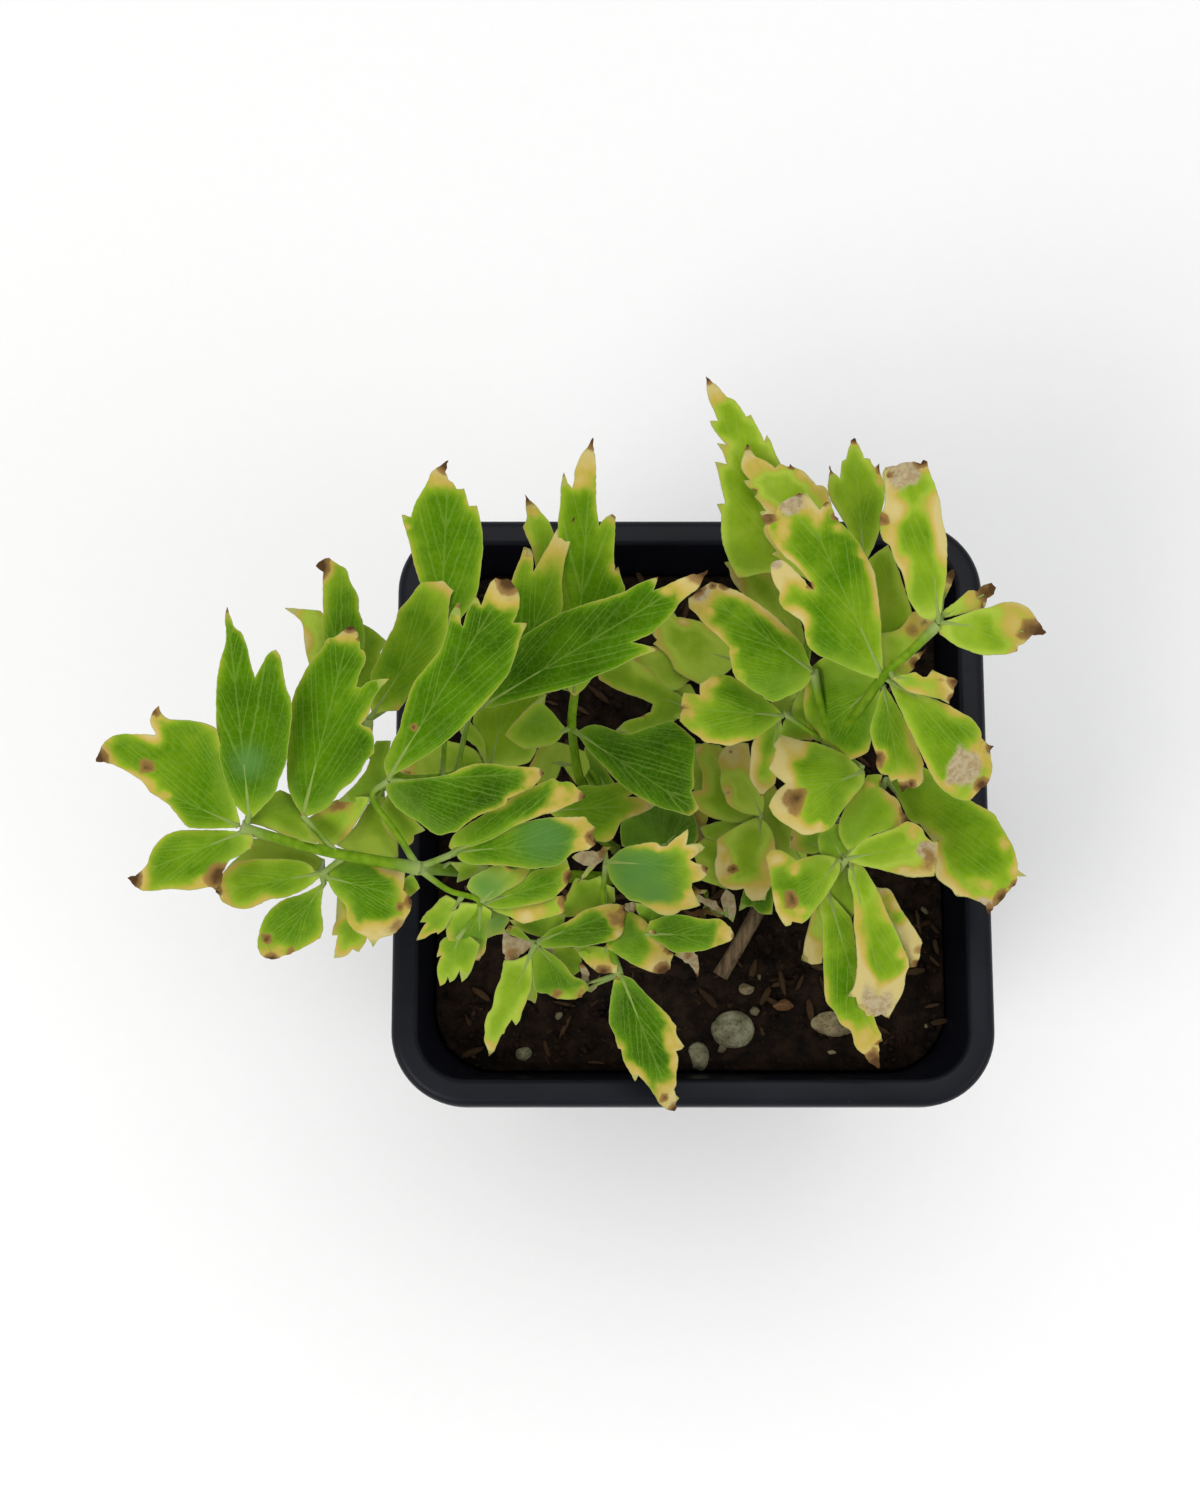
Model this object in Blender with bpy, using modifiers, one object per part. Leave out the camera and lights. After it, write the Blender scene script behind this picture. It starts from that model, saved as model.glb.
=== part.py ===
"""A young lovage plant in a square nursery pot, in metres with +Z up.

The origin is the middle of the pot's base, on the surface that it stands on.
Leaves are laid out on a sheet of 1200 by 1500 pixels, as a camera above the pot sees them.
Each point on the sheet is carried down its sight line to its own height above the rim.
"""
import math

import bmesh
import bpy
from mathutils import Vector, noise
from mathutils.geometry import delaunay_2d_cdt

MM = 0.001
GAP = 0.3 * MM

# The pot
RIM_SIDE = 100.0 * MM
POT_HEIGHT = 90.0 * MM
BASE_SIDE = 72.0 * MM
RIM_CORNER = 12.5 * MM
BASE_CORNER = 10.0 * MM
WALL = 1.5 * MM
FLOOR = 2.0 * MM
RIM_WIDTH = 4.6 * MM
RIM_DROP = 6.0 * MM
DRAIN_RADIUS = 4.5 * MM
DRAIN_REACH = 24.0 * MM
SIDE_DRAIN_RADIUS = 3.0 * MM

# The soil
SOIL_DROP = 13.0 * MM
SOIL_RELIEF = 1.4 * MM
ROOT_DEPTH = 11.0 * MM
SOIL_RINGS = (1, 0.84, 0.64, 0.42, 0.2)

# The sheet that the leaves are drawn on: its camera's focal length, tilt and place over the rim
SHEET_CENTRE = (600.0, 750.0)
FOCAL = 2420.0
TILT = math.radians(10.85)
EYE = Vector((-15.4, -67.3, 401.3)) * MM + Vector((0, 0, POT_HEIGHT))

# Blades and stems
BLADE = 0.7 * MM
RIB = 1.0 * MM
RIB_SHARE = 0.2
BLADE_GRID = 60.0
MARGIN_INSET = 11.0
MARGIN_TOLERANCE = 6.5
MARGIN_SHARE = 0.09
SCRAP_CORNERS = 20

COLOURS = {
    "pot": ((0.010, 0.011, 0.016), 0.38),
    "soil": ((0.012, 0.007, 0.004), 0.95),
    "leaf": ((0.09, 0.20, 0.01), 0.5),
    "dark leaf": ((0.05, 0.14, 0.01), 0.5),
    "yellow leaf": ((0.26, 0.32, 0.04), 0.55),
    "dry leaf": ((0.19, 0.12, 0.05), 0.8),
    "grey pebble": ((0.14, 0.14, 0.08), 0.8),
    "tan pebble": ((0.20, 0.16, 0.08), 0.8),
    "brown pebble": ((0.11, 0.06, 0.02), 0.8),
}

# Each pebble: its place on the sheet, its size on the sheet, how far it stands up, and its colour
PEBBLES = {
    "pebble_grey_large": ((733, 1030), (42, 36), 3.2, "grey pebble"),
    "pebble_grey_small": ((698, 1057), (22, 28), 2.0, "grey pebble"),
    "pebble_tan_large": ((834, 1024), (45, 25), 2.6, "tan pebble"),
    "pebble_tan_flat": ((831, 1055), (30, 17), 1.5, "tan pebble"),
    "pebble_rust": ((783, 1005), (21, 12), 1.5, "brown pebble"),
    "pebble_crumb": ((746, 989), (15, 12), 1.3, "tan pebble"),
    "pebble_brown": ((806, 1063), (15, 13), 1.5, "brown pebble"),
    "pebble_front_left": ((524, 1054), (16, 14), 1.6, "grey pebble"),
}

# Each frond: where its petiole leaves the soil, its stems as (x, y, height over the rim) points
# with a diameter in millimetres, and its leaflets.  A leaflet gives the point that it grows from,
# its tip, both heights, how far its middle arches and its sides lift, and its margin in order.
FRONDS = {
    "frond_west": {
        "colour": "leaf",
        "stems": [
            ([(622, 880, -13), (560, 876, 16), (480, 872, 43), (418, 868, 57)], 2.3),
            ([(418, 868, 57), (330, 852, 62), (241, 828, 66)], 1.8),
            ([(418, 868, 57), (396, 832, 59), (372, 797, 60), (388, 781, 61)], 1),
            ([(418, 868, 57), (450, 855, 56)], 1),
            ([(418, 868, 57), (448, 890, 55), (480, 903, 53), (458, 938, 48)], 0.9),
            ([(345, 856, 61), (322, 874, 58)], 0.9),
            ([(335, 852, 62), (303, 816, 62)], 0.9),
        ],
        "leaves": [
            ((250, 819), (227, 608), (66, 71), 2.5, 3, [
                (232, 800), (225, 781), (220, 762), (217, 735), (216, 708), (217, 681), (220, 662),
                (225, 645), (226, 632), (225, 618), (227, 608), (231, 618), (235, 628), (241, 632),
                (247, 647), (251, 665), (255, 678), (262, 665), (268, 654), (276, 650), (280, 655),
                (283, 670), (286, 688), (291, 700), (292, 715), (289, 742), (286, 762), (279, 780),
                (275, 793), (263, 807)]),
            ((241, 827), (96, 762), (66, 69), 2, 3, [
                (190, 828), (183, 822), (174, 811), (168, 804), (158, 797), (150, 792), (143, 782),
                (136, 777), (120, 768), (108, 763), (96, 762), (98, 753), (105, 742), (116, 735),
                (133, 734), (155, 735), (156, 733), (151, 724), (151, 716), (155, 708), (159, 706),
                (160, 712), (166, 718), (177, 720), (193, 721), (212, 726), (217, 730),
                (225, 770)]),
            ((244, 832), (128, 878), (66, 61), 2, 2, [
                (188, 830), (170, 833), (158, 842), (151, 853), (147, 865), (138, 873), (128, 878),
                (135, 887), (147, 891), (170, 889), (193, 890), (210, 887), (215, 890), (220, 883),
                (228, 862), (240, 855), (252, 847), (253, 835)]),
            ((244, 822), (290, 800), (64, 61), 1, 1, [
                (250, 806), (280, 790), (296, 798), (303, 818), (317, 844), (290, 837),
                (262, 826)]),
            ((303, 816), (351, 625), (62, 68), 2, 2, [
                (289, 790), (287, 764), (289, 736), (291, 710), (294, 694), (301, 679), (311, 661),
                (323, 647), (327, 639), (337, 636), (344, 629), (351, 625), (356, 630), (359, 639),
                (360, 649), (364, 651), (366, 660), (360, 673), (356, 687), (361, 688), (370, 681),
                (389, 679), (380, 689), (373, 700), (369, 713), (361, 724), (364, 726), (371, 728),
                (374, 740), (374, 753), (366, 761), (359, 774), (351, 783), (341, 790), (328, 807),
                (312, 815)]),
            ((372, 797), (330, 848), (60, 57), 1, 1, [
                (355, 797), (335, 801), (318, 812), (303, 822), (305, 835), (330, 848), (345, 838),
                (358, 820), (368, 803)]),
            ((384, 790), (376, 741), (59, 58), 0, 1, [
                (378, 799), (356, 802), (338, 801), (352, 788), (366, 770), (371, 757), (376, 741),
                (391, 741), (387, 762), (387, 776)]),
            ((388, 779), (511, 579), (61, 67), 3, 3, [
                (384, 764), (388, 753), (393, 741), (399, 730), (403, 714), (413, 684), (423, 671),
                (431, 661), (440, 650), (447, 630), (451, 613), (457, 603), (460, 603), (461, 624),
                (463, 627), (467, 613), (476, 596), (481, 606), (486, 593), (491, 583), (496, 578),
                (500, 580), (511, 579), (516, 587), (519, 596), (519, 608), (513, 623), (527, 623),
                (521, 637), (517, 650), (508, 674), (483, 705), (449, 739), (415, 763),
                (390, 777)]),
            ((388, 781), (545, 773), (61, 57), 3, -2, [
                (400, 780), (432, 777), (449, 774), (462, 768), (475, 764), (493, 764), (509, 766),
                (526, 767), (540, 768), (545, 773), (537, 782), (533, 787), (520, 793), (507, 799),
                (505, 805), (488, 812), (478, 816), (467, 823), (458, 831), (449, 833), (441, 835),
                (433, 833), (420, 823), (407, 815), (396, 807), (390, 798), (386, 789)]),
            ((384, 792), (340, 850), (56, 54), 0, 1, [
                (370, 802), (355, 826), (336, 845), (352, 852), (378, 858), (398, 857), (397, 842),
                (388, 820)]),
            ((325, 860), (236, 866), (54, 52), 0, 0, [
                (300, 848), (270, 841), (252, 838), (245, 850), (227, 868), (243, 868), (262, 862),
                (300, 866), (318, 872)]),
            ((323, 873), (216, 892), (58, 56), 2, 1, [
                (315, 873), (310, 865), (295, 860), (273, 859), (250, 859), (235, 863), (223, 873),
                (217, 885), (216, 892), (223, 902), (233, 907), (245, 909), (258, 905), (270, 899),
                (283, 898), (303, 890), (317, 880)]),
            ((327, 877), (413, 900), (58, 56), 1, -2, [
                (332, 890), (345, 905), (347, 917), (348, 922), (357, 932), (367, 937), (373, 947),
                (380, 938), (393, 934), (403, 923), (410, 910), (413, 900), (403, 890), (405, 870),
                (387, 867), (362, 863), (340, 860), (328, 868)]),
            ((325, 882), (272, 959), (57, 51), 2, 1, [
                (304, 893), (283, 900), (272, 908), (263, 920), (259, 933), (258, 947), (263, 957),
                (272, 959), (287, 955), (303, 948), (320, 938), (323, 928), (321, 907),
                (323, 890)]),
            ((338, 886), (334, 958), (56, 49), 1, 0, [
                (343, 913), (335, 923), (332, 935), (338, 935), (334, 958), (347, 955), (353, 949),
                (359, 952), (367, 938), (366, 915)]),
            ((412, 874), (408, 898), (56, 54), 0, 0, [(402, 880), (408, 898), (420, 888)]),
            ((454, 851), (586, 797), (56, 53), 2, 1, [
                (449, 847), (454, 835), (488, 812), (520, 793), (546, 781), (553, 778), (559, 782),
                (570, 782), (578, 789), (586, 797), (574, 803), (565, 807), (555, 812), (546, 814),
                (526, 820), (490, 840)]),
            ((455, 852), (597, 841), (55, 51), 2, 2, [
                (490, 832), (526, 822), (546, 818), (572, 817), (586, 817), (588, 822), (595, 828),
                (593, 833), (597, 841), (592, 848), (580, 851), (572, 853), (565, 860), (559, 865),
                (540, 868), (532, 869), (508, 866), (488, 865), (474, 865), (461, 861)]),
            ((450, 862), (457, 882), (54, 51), 0, 0, [
                (459, 872), (457, 882), (472, 876), (488, 866)]),
            ((480, 903), (529, 857), (53.5, 51), 1, 3, [
                (467, 887), (471, 878), (480, 872), (493, 866), (505, 864), (509, 868), (515, 870),
                (522, 866), (529, 857), (532, 864), (529, 872), (521, 882), (507, 890),
                (493, 899)]),
            ((480, 904), (572, 877), (52.5, 50), 1, 2, [
                (493, 899), (507, 890), (521, 882), (532, 872), (545, 868), (562, 862), (564, 852),
                (568, 864), (572, 877), (568, 884), (562, 890), (552, 899), (530, 905),
                (500, 909)]),
            ((484, 906), (566, 897), (52, 50.5), 0, -1, [
                (510, 903), (530, 903), (555, 896), (566, 897), (563, 913), (550, 917), (534, 921),
                (523, 924), (510, 917), (497, 912)]),
            ((480, 904), (479, 960), (53, 42), 1, 0, [
                (460, 903), (458, 909), (452, 911), (450, 917), (448, 924), (446, 930), (447, 937),
                (450, 942), (454, 947), (459, 953), (464, 956), (470, 958), (474, 959), (479, 960),
                (481, 956), (485, 952), (486, 945), (487, 938), (489, 929), (490, 921), (492, 913),
                (491, 910)]),
            ((459, 902), (417, 940), (52, 48), 0, 1, [
                (446, 895), (440, 899), (433, 907), (427, 912), (423, 917), (420, 922), (427, 922),
                (422, 929), (417, 940), (425, 938), (431, 934), (437, 932), (438, 934), (444, 930),
                (448, 924)]),
            ((462, 930), (440, 986), (48, 42), 0, 1, [
                (446, 937), (441, 941), (439, 947), (437, 957), (442, 955), (440, 958), (438, 963),
                (437, 970), (438, 978), (440, 986), (445, 983), (448, 976), (450, 982), (454, 980),
                (460, 970), (462, 982), (467, 978), (471, 971), (475, 960), (480, 945)]),
            ((392, 790), (413, 842), (58, 56), 0, 1, [
                (384, 800), (380, 815), (390, 835), (405, 848), (413, 842), (414, 835), (425, 830),
                (400, 805)]),
            ((488, 908), (510, 920), (51, 49), 0, 1, [
                (504, 913), (510, 920), (504, 928), (504, 933), (496, 935), (487, 938),
                (486, 924)]),
        ],
    },
    "frond_northwest": {
        "colour": "dark leaf",
        "stems": [
            ([(616, 850, -13), (560, 812, 5), (490, 772, 20), (440, 778, 32),
              (400, 777, 39), (370, 752, 42), (368, 720, 43)], 1.8),
            ([(442, 778, 32), (446, 705, 42), (440, 640, 47)], 0.9),
            ([(368, 735, 42), (353, 708, 44), (345, 682, 44)], 0.9),
            ([(455, 777, 29), (470, 712, 44)], 0.9),
            ([(560, 812, 5), (545, 810, 16)], 0.9),
        ],
        "leaves": [
            ((440, 640), (449, 460), (47, 54), 2, 2, [
                (425, 610), (420, 583), (415, 568), (410, 546), (407, 535), (403, 521), (402, 515),
                (411, 517), (415, 504), (421, 493), (427, 483), (432, 472), (449, 460), (446, 472),
                (448, 480), (453, 483), (457, 489), (464, 489), (467, 498), (469, 506), (477, 506),
                (479, 514), (482, 530), (483, 548), (481, 568), (479, 585), (476, 596),
                (460, 620)]),
            ((372, 716), (462, 578), (44, 51), 2, 2, [
                (371, 674), (380, 656), (386, 641), (394, 626), (399, 610), (409, 599), (420, 584),
                (429, 579), (449, 576), (462, 578), (452, 582), (455, 587), (450, 599), (446, 636),
                (428, 671), (410, 694), (399, 710), (382, 712)]),
            ((347, 684), (316, 566), (44, 46), 2, 1, [
                (325, 645), (323, 607), (323, 586), (323, 572), (316, 566), (321, 559), (329, 558),
                (337, 564), (346, 569), (350, 580), (358, 597), (359, 611), (363, 623),
                (364, 650)]),
            ((347, 686), (285, 608), (42, 43), 1, 1, [
                (309, 664), (305, 647), (303, 627), (300, 620), (285, 608), (300, 609), (321, 611),
                (345, 645)]),
            ((385, 712), (363, 624), (41, 42), 1, 1, [
                (362, 700), (354, 676), (360, 650), (363, 624), (373, 630), (386, 641), (380, 656),
                (392, 700)]),
            ((480, 708), (708, 570), (45, 51), 3, -2, [
                (492, 672), (520, 639), (540, 625), (562, 613), (583, 605), (606, 598), (626, 591),
                (640, 583), (658, 577), (653, 591), (665, 586), (684, 577), (700, 573), (708, 570),
                (704, 579), (697, 589), (686, 597), (678, 605), (673, 613), (661, 625), (651, 634),
                (639, 639), (632, 642), (658, 650), (640, 656), (629, 661), (614, 669), (598, 675),
                (587, 681), (566, 688), (528, 698), (494, 707)]),
            ((490, 768), (520, 642), (20, 27), 1, 2, [
                (484, 761), (478, 740), (473, 718), (492, 672), (520, 642), (545, 694), (538, 722),
                (537, 748), (530, 762), (508, 768)]),
            ((488, 768), (408, 773), (20, 25), 1, 1, [
                (430, 781), (402, 782), (397, 772), (408, 764), (424, 752), (445, 740),
                (475, 750)]),
            ((486, 764), (462, 722), (21, 24), 0, 1, [
                (480, 751), (462, 735), (458, 725), (470, 722), (484, 740)]),
            ((548, 811), (662, 804), (16, 22), 2, 2, [
                (560, 797), (575, 788), (585, 785), (597, 786), (610, 784), (620, 782), (632, 781),
                (638, 784), (641, 788), (636, 792), (630, 795), (627, 797), (635, 797), (646, 798),
                (656, 798), (662, 804), (654, 807), (646, 811), (638, 815), (628, 818), (620, 823),
                (617, 830), (613, 838), (609, 841), (601, 842), (590, 838), (570, 828)]),
        ],
    },
    "frond_north": {
        "colour": "dark leaf",
        "stems": [
            ([(634, 830, -13), (604, 806, 4), (582, 785, 14),
              (572, 730, 29), (575, 690, 33), (578, 655, 35)], 1.8),
            ([(578, 665, 35), (555, 604, 37)], 0.8),
            ([(575, 690, 33), (545, 684, 36), (510, 685, 37)], 0.8),
            ([(608, 808, 2), (590, 770, 10), (560, 764, 12)], 0.8),
        ],
        "leaves": [
            ((566, 730), (524, 749), (30, 32), 1, 2, [
                (543, 703), (546, 694), (526, 710), (505, 735), (524, 749), (540, 747),
                (555, 743)]),
            ((576, 732), (698, 812), (30, 30), 3, -3, [
                (595, 725), (628, 734), (646, 728), (672, 721), (695, 740), (693, 773), (694, 784),
                (691, 792), (694, 799), (699, 808), (690, 816), (673, 811), (656, 806), (637, 796),
                (617, 781), (605, 768), (590, 752)]),
            ((574, 697), (593, 436), (34, 46), 2, 2, [
                (566, 684), (558, 600), (558, 522), (560, 506), (561, 484), (564, 473), (568, 483),
                (572, 488), (574, 481), (575, 470), (580, 457), (587, 447), (593, 436), (595, 456),
                (596, 466), (596, 488), (597, 511), (599, 527), (604, 519), (612, 514), (615, 517),
                (615, 534), (614, 559), (615, 570), (618, 567), (622, 580), (625, 589), (615, 630),
                (600, 660), (588, 684)]),
            ((556, 606), (525, 495), (37, 43), 1, 1, [
                (540, 580), (531, 546), (527, 537), (523, 527), (525, 523), (527, 516), (525, 501),
                (525, 495), (535, 504), (541, 512), (548, 520), (554, 534), (565, 570)]),
            ((512, 686), (575, 517), (37, 43), 2, 2, [
                (500, 640), (505, 600), (512, 579), (521, 556), (524, 547), (531, 550), (533, 556),
                (533, 572), (540, 560), (548, 546), (559, 527), (575, 517), (572, 531), (570, 544),
                (565, 561), (562, 581), (562, 609), (540, 655)]),
            ((606, 792), (588, 742), (6, 10), 0, 0, [
                (590, 787), (584, 775), (582, 758), (588, 742), (594, 750), (606, 770),
                (618, 788)]),
            ((562, 764), (531, 760), (12, 13), 0, 0, [
                (553, 786), (538, 785), (527, 772), (533, 760), (540, 746), (556, 742), (585, 752),
                (590, 768), (578, 786)]),
        ],
    },
    "frond_south": {
        "colour": "leaf",
        "stems": [
            ([(648, 903, -13), (628, 908, 8), (606, 918, 22), (610, 942, 27), (619, 974, 23)], 1.6),
            ([(606, 918, 22), (603, 894, 30), (606, 864, 36)], 1),
            ([(606, 918, 22), (575, 932, 25), (536, 943, 27)], 1),
            ([(610, 938, 26), (650, 934, 28)], 0.9),
        ],
        "leaves": [
            ((606, 862), (708, 868), (36, 40), 1, 3, [
                (615, 855), (620, 850), (630, 846), (640, 844), (651, 842), (657, 843), (661, 846),
                (667, 846), (673, 840), (688, 829), (688, 837), (686, 845), (692, 844), (700, 844),
                (705, 847), (700, 852), (694, 857), (690, 860), (696, 863), (704, 865), (708, 868),
                (707, 875), (701, 880), (692, 883), (692, 888), (696, 897), (700, 905), (696, 907),
                (686, 909), (681, 910), (675, 914), (665, 915), (656, 912), (646, 906), (639, 902),
                (629, 900), (624, 895), (617, 888), (610, 878)]),
            ((606, 947), (664, 973), (27, 26), 2, -1, [
                (613, 925), (625, 911), (633, 913), (643, 919), (651, 928), (659, 934), (663, 944),
                (667, 948), (673, 954), (671, 960), (669, 969), (664, 973), (659, 975), (651, 972),
                (638, 967), (624, 959), (616, 954)]),
            ((606, 947), (603, 976), (26, 24), 0, 0, [
                (574, 947), (584, 960), (593, 969), (601, 974), (605, 975), (611, 973), (617, 973),
                (617, 960), (613, 955)]),
            ((645, 934), (734, 936), (28, 26), 1, 1, [
                (650, 921), (659, 918), (670, 915), (682, 915), (705, 919), (719, 919), (725, 923),
                (732, 930), (734, 936), (730, 941), (719, 945), (705, 950), (692, 952), (678, 953),
                (673, 952), (663, 945)]),
            ((621, 975), (675, 1111), (24, 8), 2, 1, [
                (616, 976), (614, 980), (612, 990), (610, 1003), (609, 1015), (609, 1023),
                (611, 1028), (615, 1035), (616, 1041), (618, 1048), (621, 1049), (623, 1058),
                (625, 1064), (630, 1072), (635, 1081), (638, 1075), (644, 1081), (649, 1087),
                (655, 1096), (660, 1104), (666, 1109), (675, 1111), (677, 1108), (675, 1104),
                (679, 1098), (676, 1095), (674, 1089), (676, 1085), (676, 1075), (678, 1060),
                (676, 1051), (681, 1049), (684, 1046), (680, 1040), (676, 1034), (676, 1026),
                (672, 1021), (668, 1015), (661, 1008), (650, 998), (640, 987), (631, 978)]),
            ((537, 942), (625, 909), (27, 26), 2, 2, [
                (550, 930), (570, 920), (583, 911), (594, 907), (606, 904), (616, 904), (624, 906),
                (625, 913), (625, 922), (623, 932), (620, 937), (611, 941), (597, 944), (583, 947),
                (570, 947), (543, 948)]),
            ((531, 941), (509, 926), (26, 25), 0, 0, [
                (519, 938), (509, 934), (506, 930), (509, 926), (517, 927), (524, 933)]),
            ((531, 953), (489, 1056), (26, 12), 2, 1, [
                (515, 960), (504, 960), (502, 971), (500, 980), (495, 992), (492, 1008),
                (488, 1013), (485, 1022), (485, 1032), (484, 1040), (487, 1047), (489, 1056),
                (494, 1051), (498, 1042), (502, 1034), (504, 1033), (507, 1026), (512, 1019),
                (516, 1025), (520, 1020), (522, 1012), (525, 1005), (527, 999), (532, 985),
                (532, 968)]),
            ((536, 944), (582, 998), (26, 18), 1, 1, [
                (531, 959), (533, 982), (535, 990), (539, 993), (547, 993), (554, 998), (560, 999),
                (575, 999), (582, 998), (585, 992), (589, 988), (583, 980), (573, 976), (566, 966),
                (555, 956)]),
            ((539, 946), (582, 969), (25, 20), 0, 1, [
                (575, 948), (581, 957), (582, 969), (573, 976), (560, 967), (546, 954)]),
            ((535, 944), (512, 967), (25.5, 23), 0, -1, [
                (531, 941), (519, 938), (509, 934), (504, 928), (503, 942), (505, 959), (512, 967),
                (516, 960), (523, 953)]),
            ((533, 965), (535, 1003), (22, 13), 0, 0, [
                (531, 985), (527, 999), (531, 1000), (535, 1003), (537, 996), (537, 985)]),
            ((607, 852), (577, 884), (35, 30), 0, 1, [
                (611, 847), (603, 847), (596, 852), (582, 850), (572, 857), (577, 862), (588, 866),
                (584, 873), (577, 884), (584, 879), (590, 872), (596, 866), (603, 860)]),
            ((606, 884), (556, 913), (25, 21), 0, 0, [
                (600, 876), (588, 880), (576, 878), (570, 890), (562, 902), (552, 912), (566, 917),
                (583, 914), (602, 910), (615, 902), (614, 888)]),
            ((545, 938), (509, 920), (24, 22), 0, 0, [
                (530, 934), (516, 927), (509, 920), (524, 919), (540, 918), (566, 914), (562, 926),
                (552, 938)]),
            ((650, 930), (636, 903), (26, 27), 0, 0, [
                (642, 920), (637, 911), (636, 903), (648, 906), (669, 913), (660, 922)]),
            ((624, 907), (639, 910), (26, 25), 0, 0, [
                (625, 903), (632, 901), (638, 905), (639, 910), (633, 913), (627, 912)]),
            ((583, 985), (581, 961), (17, 22), 0, 0, [
                (581, 975), (579, 965), (581, 961), (585, 966), (589, 974), (589, 984),
                (586, 990)]),
            ((585, 990), (600, 972), (15, 16), 0, 0, [
                (590, 986), (596, 981), (600, 972), (600, 980), (597, 987), (591, 992)]),
        ],
    },
    "frond_east": {
        "colour": "leaf",
        "stems": [
            ([(790, 838, -13), (812, 798, 8), (833, 748, 30), (822, 710, 37), (813, 672, 43)], 1.8),
            ([(833, 748, 30), (858, 712, 42), (883, 677, 50), (910, 652, 53), (938, 625, 55)], 1.7),
            ([(833, 748, 30), (808, 730, 33), (783, 713, 34)], 0.9),
            ([(833, 748, 30), (863, 768, 33)], 0.9),
        ],
        "leaves": [
            ((883, 678), (799, 494), (50, 54), 3, -2, [
                (874, 678), (855, 671), (839, 664), (823, 657), (817, 654), (809, 647), (805, 637),
                (804, 626), (800, 620), (790, 613), (782, 607), (779, 600), (780, 593), (775, 585),
                (771, 574), (771, 565), (775, 560), (782, 560), (790, 566), (814, 591), (808, 580),
                (796, 566), (784, 556), (772, 540), (766, 526), (761, 516), (766, 514), (776, 514),
                (780, 504), (784, 501), (799, 494), (807, 494), (810, 498), (820, 510), (826, 501),
                (829, 503), (834, 512), (840, 522), (849, 531), (859, 544), (867, 558), (874, 572),
                (877, 590), (879, 607), (881, 625), (881, 637)]),
            ((884, 674), (888, 545), (46, 47), 1, 1, [
                (868, 620), (868, 560), (888, 545), (905, 590), (912, 620), (900, 655)]),
            ((881, 682), (812, 738), (49, 30), 1, 0, [
                (870, 672), (850, 666), (828, 655), (812, 668), (804, 704), (812, 738), (832, 746),
                (850, 760), (868, 752), (876, 715)]),
            ((883, 684), (902, 792), (48, 41), 1, 1, [
                (874, 714), (870, 729), (872, 741), (876, 756), (877, 768), (883, 775), (888, 775),
                (891, 782), (897, 779), (902, 792), (906, 788), (916, 788), (924, 781), (923, 768),
                (924, 764), (905, 720)]),
            ((888, 680), (993, 746), (50, 46), 2, -2, [
                (906, 691), (923, 695), (939, 701), (950, 706), (962, 713), (971, 718), (977, 725),
                (981, 732), (981, 738), (986, 742), (993, 746), (991, 751), (991, 759), (992, 768),
                (989, 780), (985, 786), (976, 794), (970, 800), (961, 800), (950, 795), (939, 786),
                (932, 776), (926, 764), (905, 720)]),
            ((892, 678), (958, 681), (52, 50), 1, 1, [
                (899, 676), (907, 674), (916, 672), (923, 677), (927, 677), (933, 670), (938, 673),
                (948, 677), (954, 678), (958, 681), (955, 688), (952, 696), (949, 704), (940, 699),
                (927, 696), (912, 693), (903, 688)]),
            ((938, 620), (923, 459), (55, 60), 2, 2, [
                (941, 613), (943, 596), (946, 581), (947, 562), (947, 542), (945, 531), (942, 518),
                (940, 501), (935, 485), (930, 473), (927, 462), (923, 459), (920, 463), (913, 462),
                (904, 463), (893, 466), (885, 468), (883, 474), (885, 487), (885, 499), (884, 509),
                (880, 515), (880, 529), (883, 540), (890, 546), (894, 559), (902, 573), (905, 585),
                (908, 598), (915, 610), (923, 618)]),
            ((939, 623), (1047, 634), (55, 52), 2, -1, [
                (948, 620), (976, 610), (990, 607), (1001, 603), (1012, 602), (1021, 604),
                (1030, 610), (1037, 620), (1041, 626), (1047, 634), (1035, 635), (1029, 638),
                (1023, 644), (1018, 646), (1017, 651), (1008, 654), (993, 655), (982, 655),
                (969, 651), (957, 646), (948, 640), (940, 634)]),
            ((940, 618), (996, 588), (54, 53), 1, 1, [
                (943, 611), (954, 603), (963, 595), (968, 591), (977, 591), (983, 585), (991, 583),
                (996, 588), (994, 595), (990, 598), (987, 599), (985, 606), (982, 610),
                (975, 611)]),
            ((814, 673), (697, 589), (43, 39), 3, -2, [
                (810, 664), (803, 647), (790, 631), (772, 614), (757, 603), (743, 594), (737, 591),
                (725, 586), (722, 584), (711, 582), (709, 584), (697, 589), (692, 596), (689, 598),
                (689, 608), (696, 614), (703, 623), (710, 629), (719, 637), (730, 648), (729, 652),
                (731, 661), (733, 672), (736, 678), (743, 683), (752, 690), (762, 696), (769, 701),
                (777, 701), (790, 695), (801, 690), (809, 682)]),
            ((785, 716), (681, 708), (34, 35), 2, -1, [
                (766, 700), (734, 678), (719, 674), (713, 675), (707, 680), (700, 684), (700, 695),
                (684, 693), (682, 699), (681, 708), (680, 721), (689, 730), (698, 736), (705, 742),
                (718, 744), (729, 746), (738, 743), (754, 739), (766, 731)]),
            ((780, 716), (761, 796), (33, 19), 1, 1, [
                (754, 740), (751, 755), (750, 779), (757, 789), (761, 796), (769, 788), (775, 783),
                (782, 735)]),
            ((790, 714), (812, 738), (32, 29), 0, 0, [
                (800, 692), (812, 680), (815, 720), (812, 740), (780, 738), (784, 722)]),
            ((864, 771), (782, 804), (33, 36), 2, -2, [
                (858, 767), (849, 758), (839, 752), (827, 747), (816, 743), (802, 741), (791, 738),
                (780, 735), (777, 741), (773, 745), (776, 750), (774, 759), (769, 769), (776, 776),
                (786, 784), (779, 790), (773, 797), (769, 806), (774, 815), (780, 821), (790, 827),
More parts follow.
